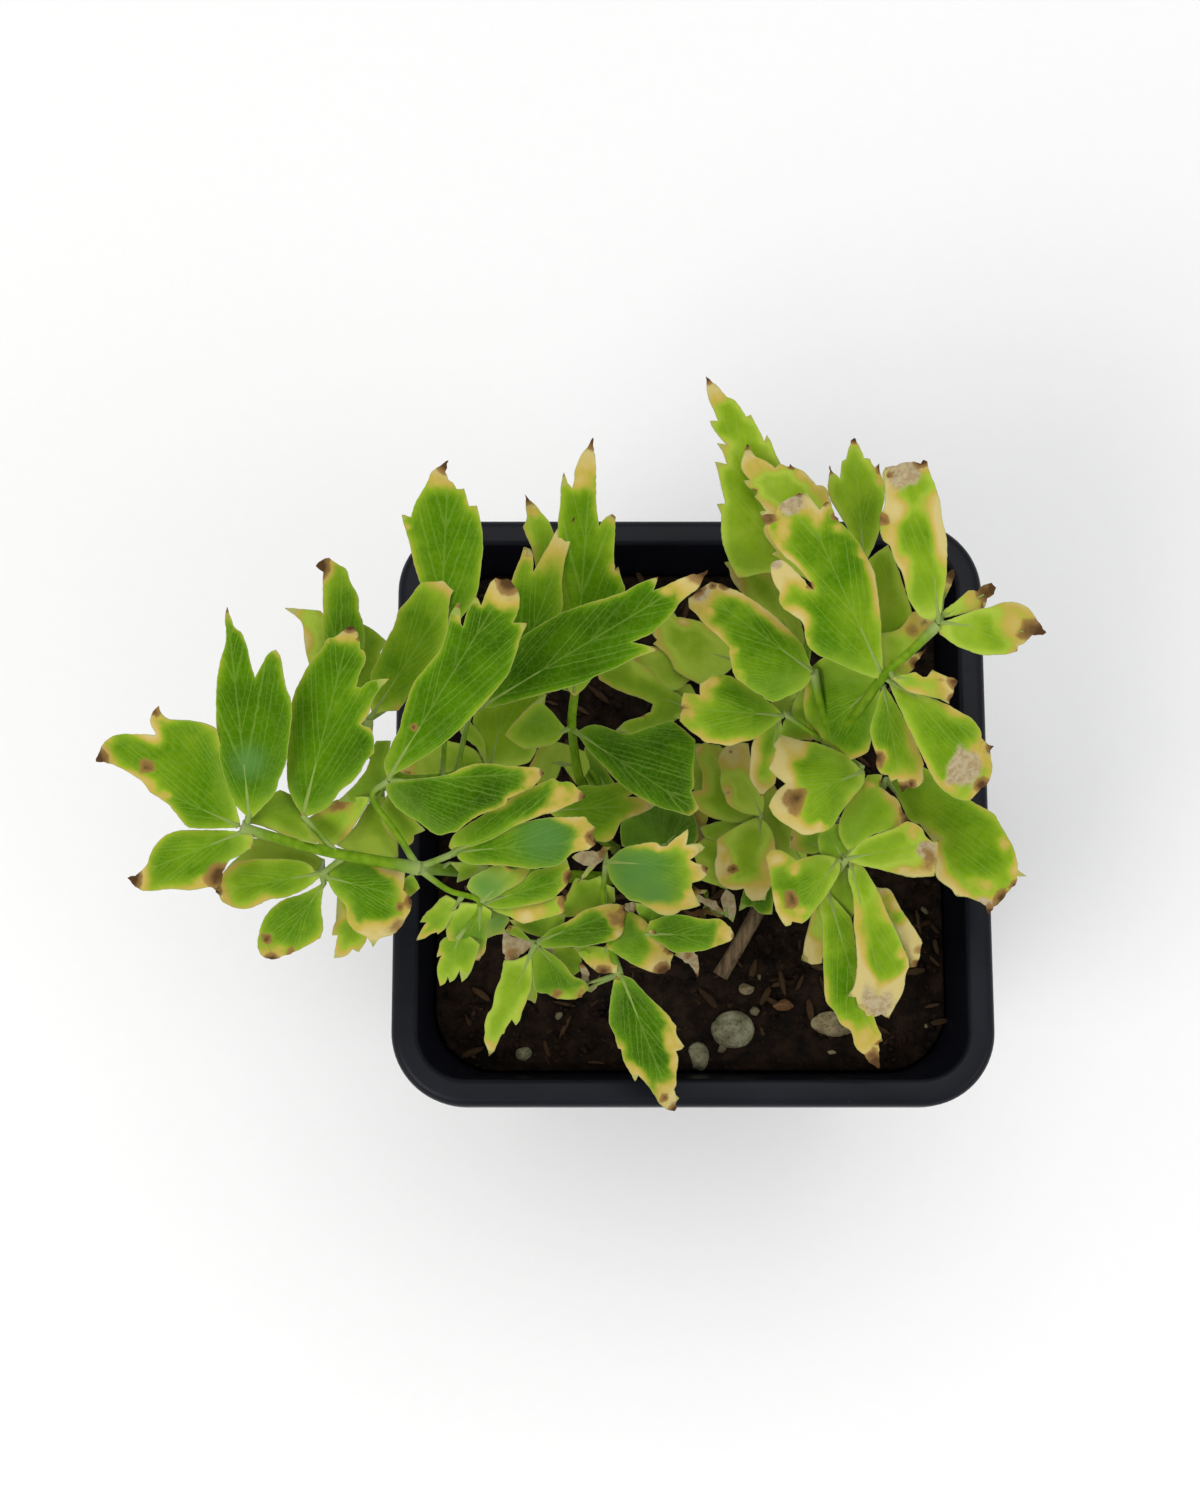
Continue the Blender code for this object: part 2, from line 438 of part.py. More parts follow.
                (798, 832), (805, 835), (816, 833), (827, 830), (834, 824), (839, 815), (846, 805),
                (857, 792), (864, 783)]),
            ((790, 712), (772, 700), (31, 29), 0, 0, [
                (780, 716), (770, 708), (772, 697), (785, 690), (800, 692), (798, 706)]),
            ((884, 674), (926, 621), (48, 49), 0, 1, [
                (881, 634), (900, 628), (912, 612), (934, 612), (932, 630), (905, 662)]),
            ((886, 674), (926, 650), (49, 50), 0, 0, [
                (905, 660), (926, 648), (922, 656), (917, 662), (914, 668), (905, 677)]),
            ((943, 600), (955, 568), (52, 51), 0, 1, [
                (944, 585), (947, 572), (955, 568), (954, 578), (950, 588)]),
        ],
    },
    "frond_northeast": {
        "colour": "dark leaf",
        "stems": [
            ([(768, 852, -13), (788, 790, 6), (798, 720, 18), (806, 660, 29), (812, 615, 35)], 1.6),
            ([(812, 615, 35), (800, 592, 37), (786, 572, 38)], 0.9),
            ([(812, 615, 35), (838, 592, 37), (864, 568, 38)], 0.9),
        ],
        "leaves": [
            ((787, 575), (706, 377), (38, 43), 2, 1, [
                (772, 572), (738, 578), (724, 548), (721, 530), (721, 515), (717, 504), (725, 504),
                (724, 498), (720, 482), (718, 472), (715, 462), (727, 464), (726, 461), (722, 451),
                (717, 443), (727, 445), (723, 441), (719, 436), (713, 428), (710, 421), (718, 421),
                (714, 411), (709, 399), (706, 387), (706, 377), (713, 382), (720, 389), (727, 397),
                (733, 399), (740, 407), (746, 417), (751, 415), (754, 421), (759, 430), (764, 441),
                (767, 435), (772, 444), (776, 455), (780, 463), (785, 500), (792, 545)]),
            ((835, 596), (747, 444), (37, 46), 2, 0, [
                (800, 575), (777, 557), (772, 554), (777, 551), (766, 537), (763, 529), (766, 523),
                (760, 512), (766, 511), (761, 504), (755, 497), (757, 490), (753, 491), (747, 486),
                (744, 481), (750, 480), (743, 472), (741, 464), (743, 456), (747, 444), (752, 452),
                (756, 457), (764, 460), (770, 464), (775, 468), (780, 464), (789, 467), (790, 464),
                (795, 468), (803, 471), (810, 478), (816, 485), (821, 485), (826, 488), (829, 497),
                (838, 530), (842, 560)]),
            ((864, 568), (854, 437), (38, 41), 1, 1, [
                (849, 531), (833, 504), (828, 490), (829, 478), (830, 465), (834, 472), (840, 479),
                (841, 467), (842, 461), (846, 459), (848, 450), (851, 441), (854, 437), (857, 442),
                (861, 450), (864, 458), (870, 459), (872, 464), (875, 468), (879, 464), (880, 472),
                (884, 482), (885, 495), (882, 511), (880, 529), (875, 544), (868, 558)]),
            ((806, 660), (728, 532), (29, 36), 1, 1, [
                (770, 630), (745, 596), (737, 587), (731, 578), (729, 569), (724, 562), (732, 562),
                (730, 552), (731, 546), (728, 532), (742, 544), (747, 551), (751, 543), (757, 552),
                (763, 562), (770, 570), (780, 585), (800, 620)]),
        ],
    },
    "frond_southeast": {
        "colour": "yellow leaf",
        "stems": [
            ([(780, 882, -13), (815, 872, 10), (847, 858, 27)], 1.4),
            ([(847, 858, 27), (838, 872, 26), (826, 888, 24)], 0.9),
            ([(810, 873, 8), (818, 895, 12)], 0.8),
        ],
        "leaves": [
            ((845, 859), (938, 842), (27, 30), 1, 2, [
                (863, 840), (877, 834), (892, 829), (907, 821), (913, 823), (922, 828), (926, 837),
                (933, 842), (938, 842), (937, 859), (934, 876), (922, 877), (910, 877), (898, 874),
                (886, 871), (874, 868), (858, 865)]),
            ((849, 852), (908, 820), (27, 28), 2, 0.2, [
                (839, 832), (846, 805), (857, 792), (863, 783), (867, 775), (882, 775), (880, 786),
                (890, 795), (897, 799), (902, 809), (908, 820), (893, 829), (870, 836)]),
            ((839, 859), (784, 926), (27, 25), 2, -1, [
                (822, 855), (808, 857), (796, 861), (789, 855), (780, 850), (771, 850), (766, 857),
                (770, 872), (772, 890), (775, 907), (781, 920), (786, 926), (791, 925), (792, 921),
                (802, 923), (808, 919), (815, 910), (825, 897), (834, 883), (840, 870)]),
            ((850, 860), (889, 1018), (26, 12), 3, 1, [
                (848, 877), (852, 891), (854, 910), (854, 927), (856, 944), (857, 966), (854, 986),
                (848, 996), (856, 997), (858, 1007), (864, 1011), (866, 1016), (875, 1016),
                (881, 1014), (889, 1018), (892, 1011), (899, 999), (904, 987), (906, 973),
                (909, 967), (908, 959), (902, 944), (894, 927), (886, 910), (879, 893), (871, 879),
                (862, 866)]),
            ((827, 889), (879, 1069), (23, 7), 2, 1, [
                (819, 906), (822, 921), (823, 959), (824, 984), (826, 1001), (834, 1011),
                (841, 1024), (851, 1031), (854, 1043), (857, 1049), (864, 1055), (869, 1063),
                (879, 1069), (879, 1053), (879, 1043), (882, 1041), (881, 1034), (876, 1024),
                (874, 1016), (862, 1000), (856, 950), (851, 919), (842, 907), (832, 896)]),
            ((852, 862), (916, 967), (24, 16), 1, 0, [
                (876, 887), (886, 888), (891, 891), (899, 906), (909, 921), (919, 936), (922, 943),
                (920, 949), (919, 959), (916, 967), (909, 967), (905, 950), (895, 925),
                (880, 900)]),
            ((817, 895), (802, 960), (12, 6), 1, 0, [
                (811, 917), (806, 936), (802, 960), (812, 964), (822, 963), (824, 930)]),
            ((845, 864), (842, 920), (25, 20), 0, 0, [
                (834, 872), (829, 886), (832, 898), (838, 912), (842, 920), (852, 918), (858, 898),
                (856, 880)]),
            ((843, 858), (824, 826), (26, 27), 0, 0, [
                (832, 860), (820, 854), (818, 838), (824, 826), (840, 824), (850, 842),
                (852, 852)]),
            ((806, 872), (766, 786), (3, 5), 0, 0, [
                (790, 862), (772, 845), (764, 828), (762, 806), (766, 786), (774, 784), (784, 804),
                (794, 830), (806, 850)]),
        ],
    },
    "frond_far_east": {
        "colour": "leaf",
        "stems": [
            ([(808, 858, -13), (860, 818, 8), (887, 780, 19)], 1.4),
            ([(825, 845, -6), (828, 848, 10)], 0.8),
        ],
        "leaves": [
            ((887, 780), (988, 915), (19, 24), 2, 1, [
                (900, 762), (925, 768), (950, 785), (970, 800), (980, 806), (994, 814), (1001, 826),
                (1007, 836), (1013, 847), (1017, 861), (1018, 870), (1026, 876), (1017, 876),
                (1017, 882), (1009, 891), (1000, 901), (994, 907), (988, 915), (985, 907),
                (976, 901), (968, 897), (957, 896), (950, 888), (941, 882), (935, 873), (936, 855),
                (938, 841), (942, 839), (930, 833), (926, 827), (915, 823), (909, 820), (901, 804),
                (895, 794)]),
            ((826, 848), (790, 838), (10, 14), 0, 1, [
                (812, 854), (790, 848), (792, 830), (815, 830), (835, 834)]),
        ],
    },
    "frond_low_middle": {
        "colour": "leaf",
        "stems": [
            ([(744, 866, -13), (762, 842, -1), (760, 820, 9)], 1.2),
        ],
        "leaves": [
            ((760, 817), (759, 901), (10, 7), 1, 1, [
                (747, 821), (732, 829), (717, 840), (717, 849), (717, 856), (715, 861), (715, 872),
                (719, 882), (725, 887), (736, 890), (744, 888), (746, 895), (752, 901), (759, 900),
                (765, 900), (767, 892), (771, 886), (776, 860), (772, 832)]),
            ((762, 816), (731, 752), (11, 14), 1, 1, [
                (754, 815), (738, 811), (727, 803), (725, 796), (721, 787), (720, 778), (721, 772),
                (717, 761), (722, 750), (733, 742), (748, 744), (752, 766), (758, 780),
                (764, 800)]),
            ((757, 817), (695, 748), (8, 11), 0, 1, [
                (746, 822), (730, 822), (708, 816), (694, 804), (690, 792), (702, 790), (702, 772),
                (697, 760), (695, 748), (705, 742), (718, 750), (740, 785)]),
            ((755, 822), (702, 828), (8, 6), 0, 1, [
                (740, 819), (716, 822), (700, 828), (705, 838), (716, 840), (735, 831)]),
            ((756, 838), (702, 866), (7, 5.5), 0, 0.5, [
                (725, 836), (705, 838), (692, 850), (696, 862), (700, 880), (715, 885), (727, 889),
                (742, 876)]),
            ((764, 850), (739, 911), (4, 1), 0, 1, [
                (750, 870), (743, 892), (739, 911), (747, 907), (753, 906), (760, 913), (772, 914),
                (773, 885)]),
        ],
    },
    "frond_low_north": {
        "colour": "dark leaf",
        "stems": [
            ([(722, 836, -13), (735, 780, 1), (745, 715, 10), (738, 665, 15)], 1.2),
            ([(743, 725, 9), (702, 704, 13)], 0.8),
            ([(744, 700, 11), (694, 676, 16)], 0.8),
        ],
        "leaves": [
            ((738, 662), (652, 634), (15, 19), 1, 1, [
                (735, 648), (719, 637), (703, 623), (690, 619), (677, 617), (673, 612), (660, 622),
                (652, 634), (657, 640), (653, 644), (663, 651), (671, 661), (676, 671), (700, 684),
                (722, 676)]),
            ((694, 676), (627, 661), (16, 18), 1, 1, [
                (688, 656), (660, 648), (645, 645), (632, 642), (635, 652), (627, 661), (638, 670),
                (649, 679), (662, 689), (678, 690)]),
            ((700, 704), (652, 689), (13, 15), 1, 1, [
                (690, 684), (668, 684), (652, 689), (660, 695), (669, 704), (672, 718), (680, 719),
                (690, 722)]),
            ((690, 708), (598, 677), (14, 24), 1, 1, [
                (672, 722), (650, 729), (632, 734), (616, 730), (625, 722), (640, 717), (651, 712),
                (653, 704), (640, 698), (625, 693), (612, 687), (600, 680), (598, 677), (603, 668),
                (615, 662), (628, 658), (644, 666), (662, 684), (684, 698)]),
            ((735, 788), (694, 744), (1, 4), 1, 1, [
                (712, 812), (696, 795), (690, 765), (694, 744), (720, 745), (736, 765)]),
        ],
    },
    "frond_low_west": {
        "colour": "dark leaf",
        "stems": [
            ([(684, 868, -13), (672, 856, -1), (664, 846, 5)], 1.1),
        ],
        "leaves": [
            ((664, 847), (694, 812), (4, 6), 0.5, 0.5, [
                (640, 848), (622, 846), (621, 825), (630, 812), (655, 803), (672, 806), (690, 806),
                (698, 835), (690, 852)]),
            ((690, 852), (717, 832), (3.2, 3.8), 0, 0, [
                (694, 830), (691, 817), (696, 808), (699, 803), (704, 812), (708, 817), (706, 824),
                (711, 826), (717, 829), (717, 835), (712, 838), (706, 844), (700, 848)]),
        ],
    },
    "withered_leaf": {
        "colour": "dry leaf",
        "stems": [
            ([(706, 894, -13), (705, 912, -7), (690, 936, -4)], 0.9),
            ([(705, 908, -8), (726, 914, -4)], 0.7),
        ],
        "leaves": [
            ((704, 913), (681, 908), (-6, -1), 0, 0, [
                (705, 918), (688, 916), (681, 908), (690, 911), (705, 908), (717, 909),
                (724, 918)]),
            ((727, 916), (727, 889), (-4, 0), 0, 1, [
                (724, 911), (721, 899), (726, 889), (734, 895), (736, 909), (733, 922)]),
            ((690, 936), (697, 979), (-4, -8), 1, 1, [
                (675, 955), (682, 960), (690, 967), (694, 972), (697, 979), (700, 968), (698, 959),
                (694, 950)]),
            ((724, 913), (692, 884), (-4, 1), 0, -1, [
                (716, 901), (705, 897), (698, 894), (704, 893), (707, 890), (700, 889), (692, 884),
                (694, 892), (697, 900), (705, 905), (715, 911)]),
        ],
    },
}

# The cut end of an old stem, which leans out of the soil and lies down on it
STUB = ([(758, 908, -13), (754, 918, -9.2), (738, 946, -9.0), (720, 976, -9.8)], 2.4)


def clear_scene():
    """Remove what the scene holds, so that only the plant is left."""
    for obj in list(bpy.data.objects):
        bpy.data.objects.remove(obj, do_unlink=True)
    for group in list(bpy.data.collections):
        bpy.data.collections.remove(group)


def sheet_point(x, y, height):
    """The point at a height in mm over the rim that the sheet shows at x, y."""
    forward = Vector((0, math.sin(TILT), -math.cos(TILT)))
    upward = Vector((0, math.cos(TILT), math.sin(TILT)))
    across = (x - SHEET_CENTRE[0]) / FOCAL
    rise = (SHEET_CENTRE[1] - y) / FOCAL
    ray = forward + Vector((across, 0, 0)) + upward * rise
    level = POT_HEIGHT + height * MM
    return EYE + ray * ((level - EYE.z) / ray.z)


def new_object(name, mesh, group):
    """An object for a mesh, linked to a collection."""
    obj = bpy.data.objects.new(name, mesh)
    group.objects.link(obj)
    return obj


def mesh_from_bmesh(name, bm):
    """A mesh with its faces pointing out, from a bmesh that is then freed."""
    bmesh.ops.recalc_face_normals(bm, faces=bm.faces)
    mesh = bpy.data.meshes.new(name)
    bm.to_mesh(mesh)
    bm.free()
    return mesh


def paint(obj, colour):
    """Give an object its own Principled material."""
    base, roughness = COLOURS[colour]
    material = bpy.data.materials.new(obj.name + "_material")
    material.use_nodes = True
    shader = material.node_tree.nodes["Principled BSDF"]
    shader.inputs["Base Color"].default_value = (*base, 1)
    shader.inputs["Roughness"].default_value = roughness
    shader.inputs["Metallic"].default_value = 0
    obj.data.materials.clear()
    obj.data.materials.append(material)


def rounded_square(side, corner, height, steps=5):
    """A ring of points round a square with rounded corners."""
    reach = side / 2 - corner
    ring = []
    for quarter in range(4):
        start = quarter * math.pi / 2
        middle = Vector((math.cos(start + math.pi / 4), math.sin(start + math.pi / 4))) * reach * math.sqrt(2)
        for step in range(steps + 1):
            turn = start + step / steps * math.pi / 2
            point = middle + Vector((math.cos(turn), math.sin(turn))) * corner
            ring.append(Vector((point.x, point.y, height)))
    return ring


def loft(rings):
    """A closed body through rings of equal count, closed at both ends by a flat face."""
    bm = bmesh.new()
    loops = [[bm.verts.new(point) for point in ring] for ring in rings]
    count = len(loops[0])
    for lower, upper in zip(loops, loops[1:]):
        for index in range(count):
            after = (index + 1) % count
            bm.faces.new((lower[index], lower[after], upper[after], upper[index]))
    bm.faces.new(list(reversed(loops[0])))
    bm.faces.new(loops[-1])
    return bm


def wall_side(height):
    """The outer side of the pot's wall at a height above its base."""
    under_rim = RIM_SIDE - 2 * (RIM_WIDTH - WALL)
    return BASE_SIDE + (under_rim - BASE_SIDE) * height / POT_HEIGHT


def wall_corner(height):
    """The outer corner radius of the pot's wall at a height above its base."""
    return BASE_CORNER + (RIM_CORNER - BASE_CORNER) * height / POT_HEIGHT


def pot(group, cutters):
    """The square pot: tapered wall, rolled rim, and holes in the base."""
    lip = POT_HEIGHT - RIM_DROP
    roll = 1.2 * MM
    top = POT_HEIGHT
    inner = RIM_SIDE - 2 * RIM_WIDTH
    bottom_round = 1.5 * MM
    outside = [
        (BASE_SIDE - 2 * bottom_round, BASE_CORNER - bottom_round, 0),
        (wall_side(bottom_round), BASE_CORNER, bottom_round),
        (wall_side(lip), wall_corner(lip), lip),
        (RIM_SIDE - 1.0 * MM, RIM_CORNER, lip),
        (RIM_SIDE, RIM_CORNER, top - roll),
        (RIM_SIDE - 0.6 * roll, RIM_CORNER - 0.3 * roll, top - 0.3 * roll),
        (RIM_SIDE - 2 * roll, RIM_CORNER - roll, top),
        (inner + 2 * roll, RIM_CORNER - RIM_WIDTH + roll, top),
        (inner + 0.6 * roll, RIM_CORNER - RIM_WIDTH + 0.3 * roll, top - 0.3 * roll),
        (inner, RIM_CORNER - RIM_WIDTH, top - roll),
        (wall_side(lip) - 2 * WALL, wall_corner(lip) - WALL, lip - 1.0 * MM),
        (wall_side(FLOOR) - 2 * WALL, BASE_CORNER - WALL, FLOOR),
    ]
    rings = [rounded_square(*section) for section in outside]
    obj = new_object("pot", mesh_from_bmesh("pot", loft(rings)), group)
    drains = []
    for sx in (-1, 1):
        for sy in (-1, 1):
            drains.append((sx * DRAIN_REACH, sy * DRAIN_REACH, DRAIN_RADIUS))
    for angle in range(4):
        turn = angle * math.pi / 2
        drains.append((math.cos(turn) * DRAIN_REACH, math.sin(turn) * DRAIN_REACH, SIDE_DRAIN_RADIUS))
    for number, (x, y, radius) in enumerate(drains):
        bm = bmesh.new()
        bmesh.ops.create_cone(bm, cap_ends=True, segments=16, radius1=radius, radius2=radius,
                              depth=FLOOR * 4)
        bmesh.ops.translate(bm, verts=bm.verts, vec=(x, y, FLOOR / 2))
        new_object(f"drain_cutter_{number}", mesh_from_bmesh("drain", bm), cutters)
    cut = obj.modifiers.new("drain holes", "BOOLEAN")
    cut.operation = "DIFFERENCE"
    cut.operand_type = "COLLECTION"
    cut.collection = cutters
    paint(obj, "pot")
    return obj


def soil_height(x, y):
    """The soil's surface at a place, in metres above the base."""
    broad = noise.noise(Vector((x * 60, y * 60, 3.1)))
    fine = noise.noise(Vector((x * 190, y * 190, 8.4)))
    return POT_HEIGHT - SOIL_DROP + SOIL_RELIEF * (0.8 * broad + 0.6 * fine)


def soil(group, cutters):
    """The soil, which fills the pot up to its lumpy surface, with holes for the stems."""
    low = FLOOR + GAP
    level = POT_HEIGHT - SOIL_DROP
    rings = []
    for height in (low, level - 3 * MM):
        side = wall_side(height) - 2 * WALL - 2 * GAP
        rings.append(rounded_square(side, wall_corner(height) - WALL, height))
    side = wall_side(level) - 2 * WALL - 2.4 * GAP
    corner = wall_corner(level) - WALL
    for share in SOIL_RINGS:
        ring = rounded_square(side * share, corner * share, level)
        for point in ring:
            point.z = soil_height(point.x, point.y)
        rings.append(ring)
    obj = new_object("soil", mesh_from_bmesh("soil", loft(rings)), group)
    cut = obj.modifiers.new("stem holes and pebble beds", "BOOLEAN")
    cut.operation = "DIFFERENCE"
    cut.operand_type = "COLLECTION"
    cut.collection = cutters
    paint(obj, "soil")
    return obj


def stem_hole(name, stem, cutters):
    """A plain round hole in the soil where a stem stands."""
    (x, y, _), *_ = stem[0]
    centre = sheet_point(x, y, -SOIL_DROP / MM)
    radius = stem[1] * MM / 2 + GAP
    depth = ROOT_DEPTH + GAP
    tall = depth + 8 * MM
    bm = bmesh.new()
    bmesh.ops.create_cone(bm, cap_ends=True, segments=8, radius1=radius, radius2=radius, depth=tall)
    middle = POT_HEIGHT - SOIL_DROP - depth + tall / 2
    bmesh.ops.translate(bm, verts=bm.verts, vec=(centre.x, centre.y, middle))
    return new_object(name + "_hole", mesh_from_bmesh(name, bm), cutters)


def stone(name, place, size, stands, seed, grow):
    """A worn pebble, grown on every side by an amount in metres."""
    foot = sheet_point(*place, -SOIL_DROP / MM)
    wide = size[0] / 5.74 * MM / 2 + grow
    deep = size[1] / 5.74 * MM / 2 + grow
    tall = max(stands, 1.6) * MM * 0.75 + grow
    bm = bmesh.new()
    bmesh.ops.create_icosphere(bm, subdivisions=2, radius=1)
    for vert in bm.verts:
        lump = 1 + 0.10 * noise.noise(vert.co * 1.3 + Vector((seed * 7.7, 0, 0)))
        vert.co = Vector((vert.co.x * wide, vert.co.y * deep, vert.co.z * tall)) * lump
    lift = soil_height(foot.x, foot.y) + stands * MM * 0.25
    bmesh.ops.translate(bm, verts=bm.verts, vec=(foot.x, foot.y, lift))
    return mesh_from_bmesh(name, bm)


def smooth_route(points, per_span=2):
    """Points along a smooth curve through a stem's own points."""
    ends = [points[0] * 2 - points[1], *points, points[-1] * 2 - points[-2]]
    route = []
    for a, b, c, d in zip(ends, ends[1:], ends[2:], ends[3:]):
        for step in range(per_span):
            t = step / per_span
            route.append(0.5 * (2 * b + (c - a) * t + (2 * a - 5 * b + 4 * c - d) * t * t
                                + (3 * b - 3 * c + d - a) * t ** 3))
    route.append(points[-1])
    return route


def tube(name, points, diameter, group, taper=1.0, sides=2):
    """A round stem through points, as a mesh with welded caps."""
    curve = bpy.data.curves.new(name, "CURVE")
    curve.dimensions = "3D"
    curve.bevel_depth = diameter / 2
    curve.bevel_resolution = sides
    curve.use_fill_caps = True
    spline = curve.splines.new("POLY")
    spline.points.add(len(points) - 1)
    for index, point in enumerate(points):
        share = index / (len(points) - 1)
        spline.points[index].co = (*point, 1)
        spline.points[index].radius = 1 + (taper - 1) * share
    source = new_object(name, curve, group)
    bpy.context.view_layer.update()
    evaluated = source.evaluated_get(bpy.context.evaluated_depsgraph_get())
    mesh = bpy.data.meshes.new_from_object(evaluated)
    bm = bmesh.new()
    bm.from_mesh(mesh)
    bmesh.ops.remove_doubles(bm, verts=bm.verts, dist=0.00001)
    bpy.data.meshes.remove(mesh)
    obj = new_object(name + "_tube", mesh_from_bmesh(name, bm), group)
    obj.matrix_world = source.matrix_world
    bpy.data.objects.remove(source, do_unlink=True)
    return obj


def rooted_route(points):
    """A petiole's route, from its foot in the soil straight up and on to its top."""
    route = [sheet_point(*point) for point in points]
    foot = route[0].copy()
    foot.z -= ROOT_DEPTH
    over = route[0].copy()
    over.z += 1.5 * MM
    return [foot, route[0]] + smooth_route([over, *route[1:]])


def inside(point, outline):
    """Whether a point of the sheet lies in an outline."""
    hit = False
    for (ax, ay), (bx, by) in zip(outline, outline[1:] + outline[:1]):
        if (ay > point[1]) != (by > point[1]):
            if point[0] < ax + (point[1] - ay) * (bx - ax) / (by - ay):
                hit = not hit
    return hit


def margin_distance(point, outline):
    """How far a point of the sheet is from an outline."""
    here = Vector(point)
    nearest = 1e9
    for start, end in zip(outline, outline[1:] + outline[:1]):
        a = Vector(start)
        along = Vector(end) - a
        share = max(0, min(1, (here - a).dot(along) / along.length_squared))
        nearest = min(nearest, (here - a - along * share).length)
    return nearest


def thinned(line, tolerance):
    """The points of a line that its shape needs to within a tolerance, in pixels of the sheet."""
    start = Vector(line[0])
    along = Vector(line[-1]) - start
    farthest, split = 0, 0
    for index in range(1, len(line) - 1):
        here = Vector(line[index]) - start
        share = max(0, min(1, here.dot(along) / max(along.length_squared, 1)))
        if (here - along * share).length > farthest:
            farthest, split = (here - along * share).length, index
    if farthest < tolerance:
        return [line[0], line[-1]]
    return thinned(line[:split + 1], tolerance)[:-1] + thinned(line[split:], tolerance)


def blade_height(point, base, tip, heights, arch, lift):
    """The height over the rim, in mm, of a blade at a point of the sheet."""
    axis = Vector(tip) - Vector(base)
    offset = Vector(point) - Vector(base)
    along = offset.dot(axis) / axis.length_squared
    aside = (offset.x * axis.y - offset.y * axis.x) / axis.length_squared
    low, high = heights
    return low + (high - low) * along + arch * 4 * along * (1 - along) + lift * 4 * aside * aside


def nearest_on(routes, spot):
    """The point of the stems' routes that lies nearest to a place."""
    best = None
    for route in routes:
        for start, end in zip(route, route[1:]):
            along = end - start
            share = max(0, min(1, (spot - start).dot(along) / along.length_squared))
            point = start + along * share
            if best is None or (spot - point).length < (spot - best).length:
                best = point
    return best


def blade(name, leaf, routes, group):
    """A lobed leaflet as a thin waved blade, split alike on both faces, on a rib from its stem."""
    base, tip, heights, arch, lift, margin = leaf
    axis = Vector(tip) - Vector(base)
    outline = thinned([base, *margin, base], min(MARGIN_TOLERANCE, axis.length * MARGIN_SHARE))[:-1]
    unit = axis.normalized()
    side = Vector((-unit.y, unit.x))
    points = list(outline)
    rows = max(2, round(axis.length / BLADE_GRID))
    for row in range(1, rows):
        for column in (-2, -1, 0, 1, 2):
            spot = Vector(base) + axis * (row / rows) + side * column * BLADE_GRID * 0.8
            if inside(spot, outline) and margin_distance(spot, outline) > MARGIN_INSET:
                points.append(tuple(spot))
    flat = [Vector(point) for point in points]
    loop = [list(range(len(outline)))]
    verts, _, faces, *_ = delaunay_2d_cdt(flat, [], loop, 1, 0.01)
    bm = bmesh.new()
    made = []
    for spot in verts:
        height = blade_height(spot, base, tip, heights, arch, lift)
        made.append(bm.verts.new(sheet_point(spot.x, spot.y, height)))
    for face in faces:
        bm.faces.new([made[index] for index in face])
    obj = new_object(name, mesh_from_bmesh(name, bm), group)
    thick = obj.modifiers.new("thickness", "SOLIDIFY")
    thick.thickness = BLADE
    thick.offset = 0
    root = nearest_on(routes, sheet_point(*base, heights[0]))
    spot = Vector(base) + axis * RIB_SHARE
    end = sheet_point(*spot, blade_height(spot, base, tip, heights, arch, lift))
    tube(name + "_rib", [root, end], RIB, group, taper=0.8, sides=0)
    return obj


def drop_scraps(mesh):
    """Remove the loose crumbs of a few corners that a union can leave."""
    bm = bmesh.new()
    bm.from_mesh(mesh)
    unseen = set(bm.verts)
    while unseen:
        body = {unseen.pop()}
        edge = list(body)
        while edge:
            vert = edge.pop()
            for link in vert.link_edges:
                other = link.other_vert(vert)
                if other in unseen:
                    unseen.remove(other)
                    body.add(other)
                    edge.append(other)
        if len(body) < SCRAP_CORNERS:
            bmesh.ops.delete(bm, geom=list(body), context="VERTS")
    bm.to_mesh(mesh)
    bm.free()


def unite(name, pieces, group):
    """One closed body from the overlapping pieces in a collection, which is then emptied."""
    bpy.context.view_layer.update()
    members = list(pieces.objects)
    first = members[0]
    pieces.objects.unlink(first)
    group.objects.link(first)
    join = first.modifiers.new("union", "BOOLEAN")
    join.operation = "UNION"
    join.operand_type = "COLLECTION"
    join.collection = pieces
    join.solver = "MANIFOLD"
    bpy.context.view_layer.update()
    evaluated = first.evaluated_get(bpy.context.evaluated_depsgraph_get())
    mesh = bpy.data.meshes.new_from_object(evaluated)
    mesh.name = name
    for member in members:
        bpy.data.objects.remove(member, do_unlink=True)
    bpy.data.collections.remove(pieces)
    drop_scraps(mesh)
    return new_object(name, mesh, group)


def frond(name, parts, group):
    """A petiole with its stalks and leaflets, joined in one body."""
    pieces = bpy.data.collections.new(name + "_pieces")
    bpy.context.scene.collection.children.link(pieces)
    routes = []
    for number, (points, diameter) in enumerate(parts["stems"]):
        if number == 0:
            routes.append(rooted_route(points))
            tube(f"{name}_petiole", routes[0], diameter * MM, pieces, taper=0.75)
        else:
            routes.append(smooth_route([sheet_point(*point) for point in points]))
            tube(f"{name}_stalk_{number}", routes[-1], diameter * MM, pieces, taper=0.85, sides=1)
    for number, leaf in enumerate(parts["leaves"]):
        blade(f"{name}_leaflet_{number}", leaf, routes, pieces)
    obj = unite(name, pieces, group)
    paint(obj, parts["colour"])
    return obj


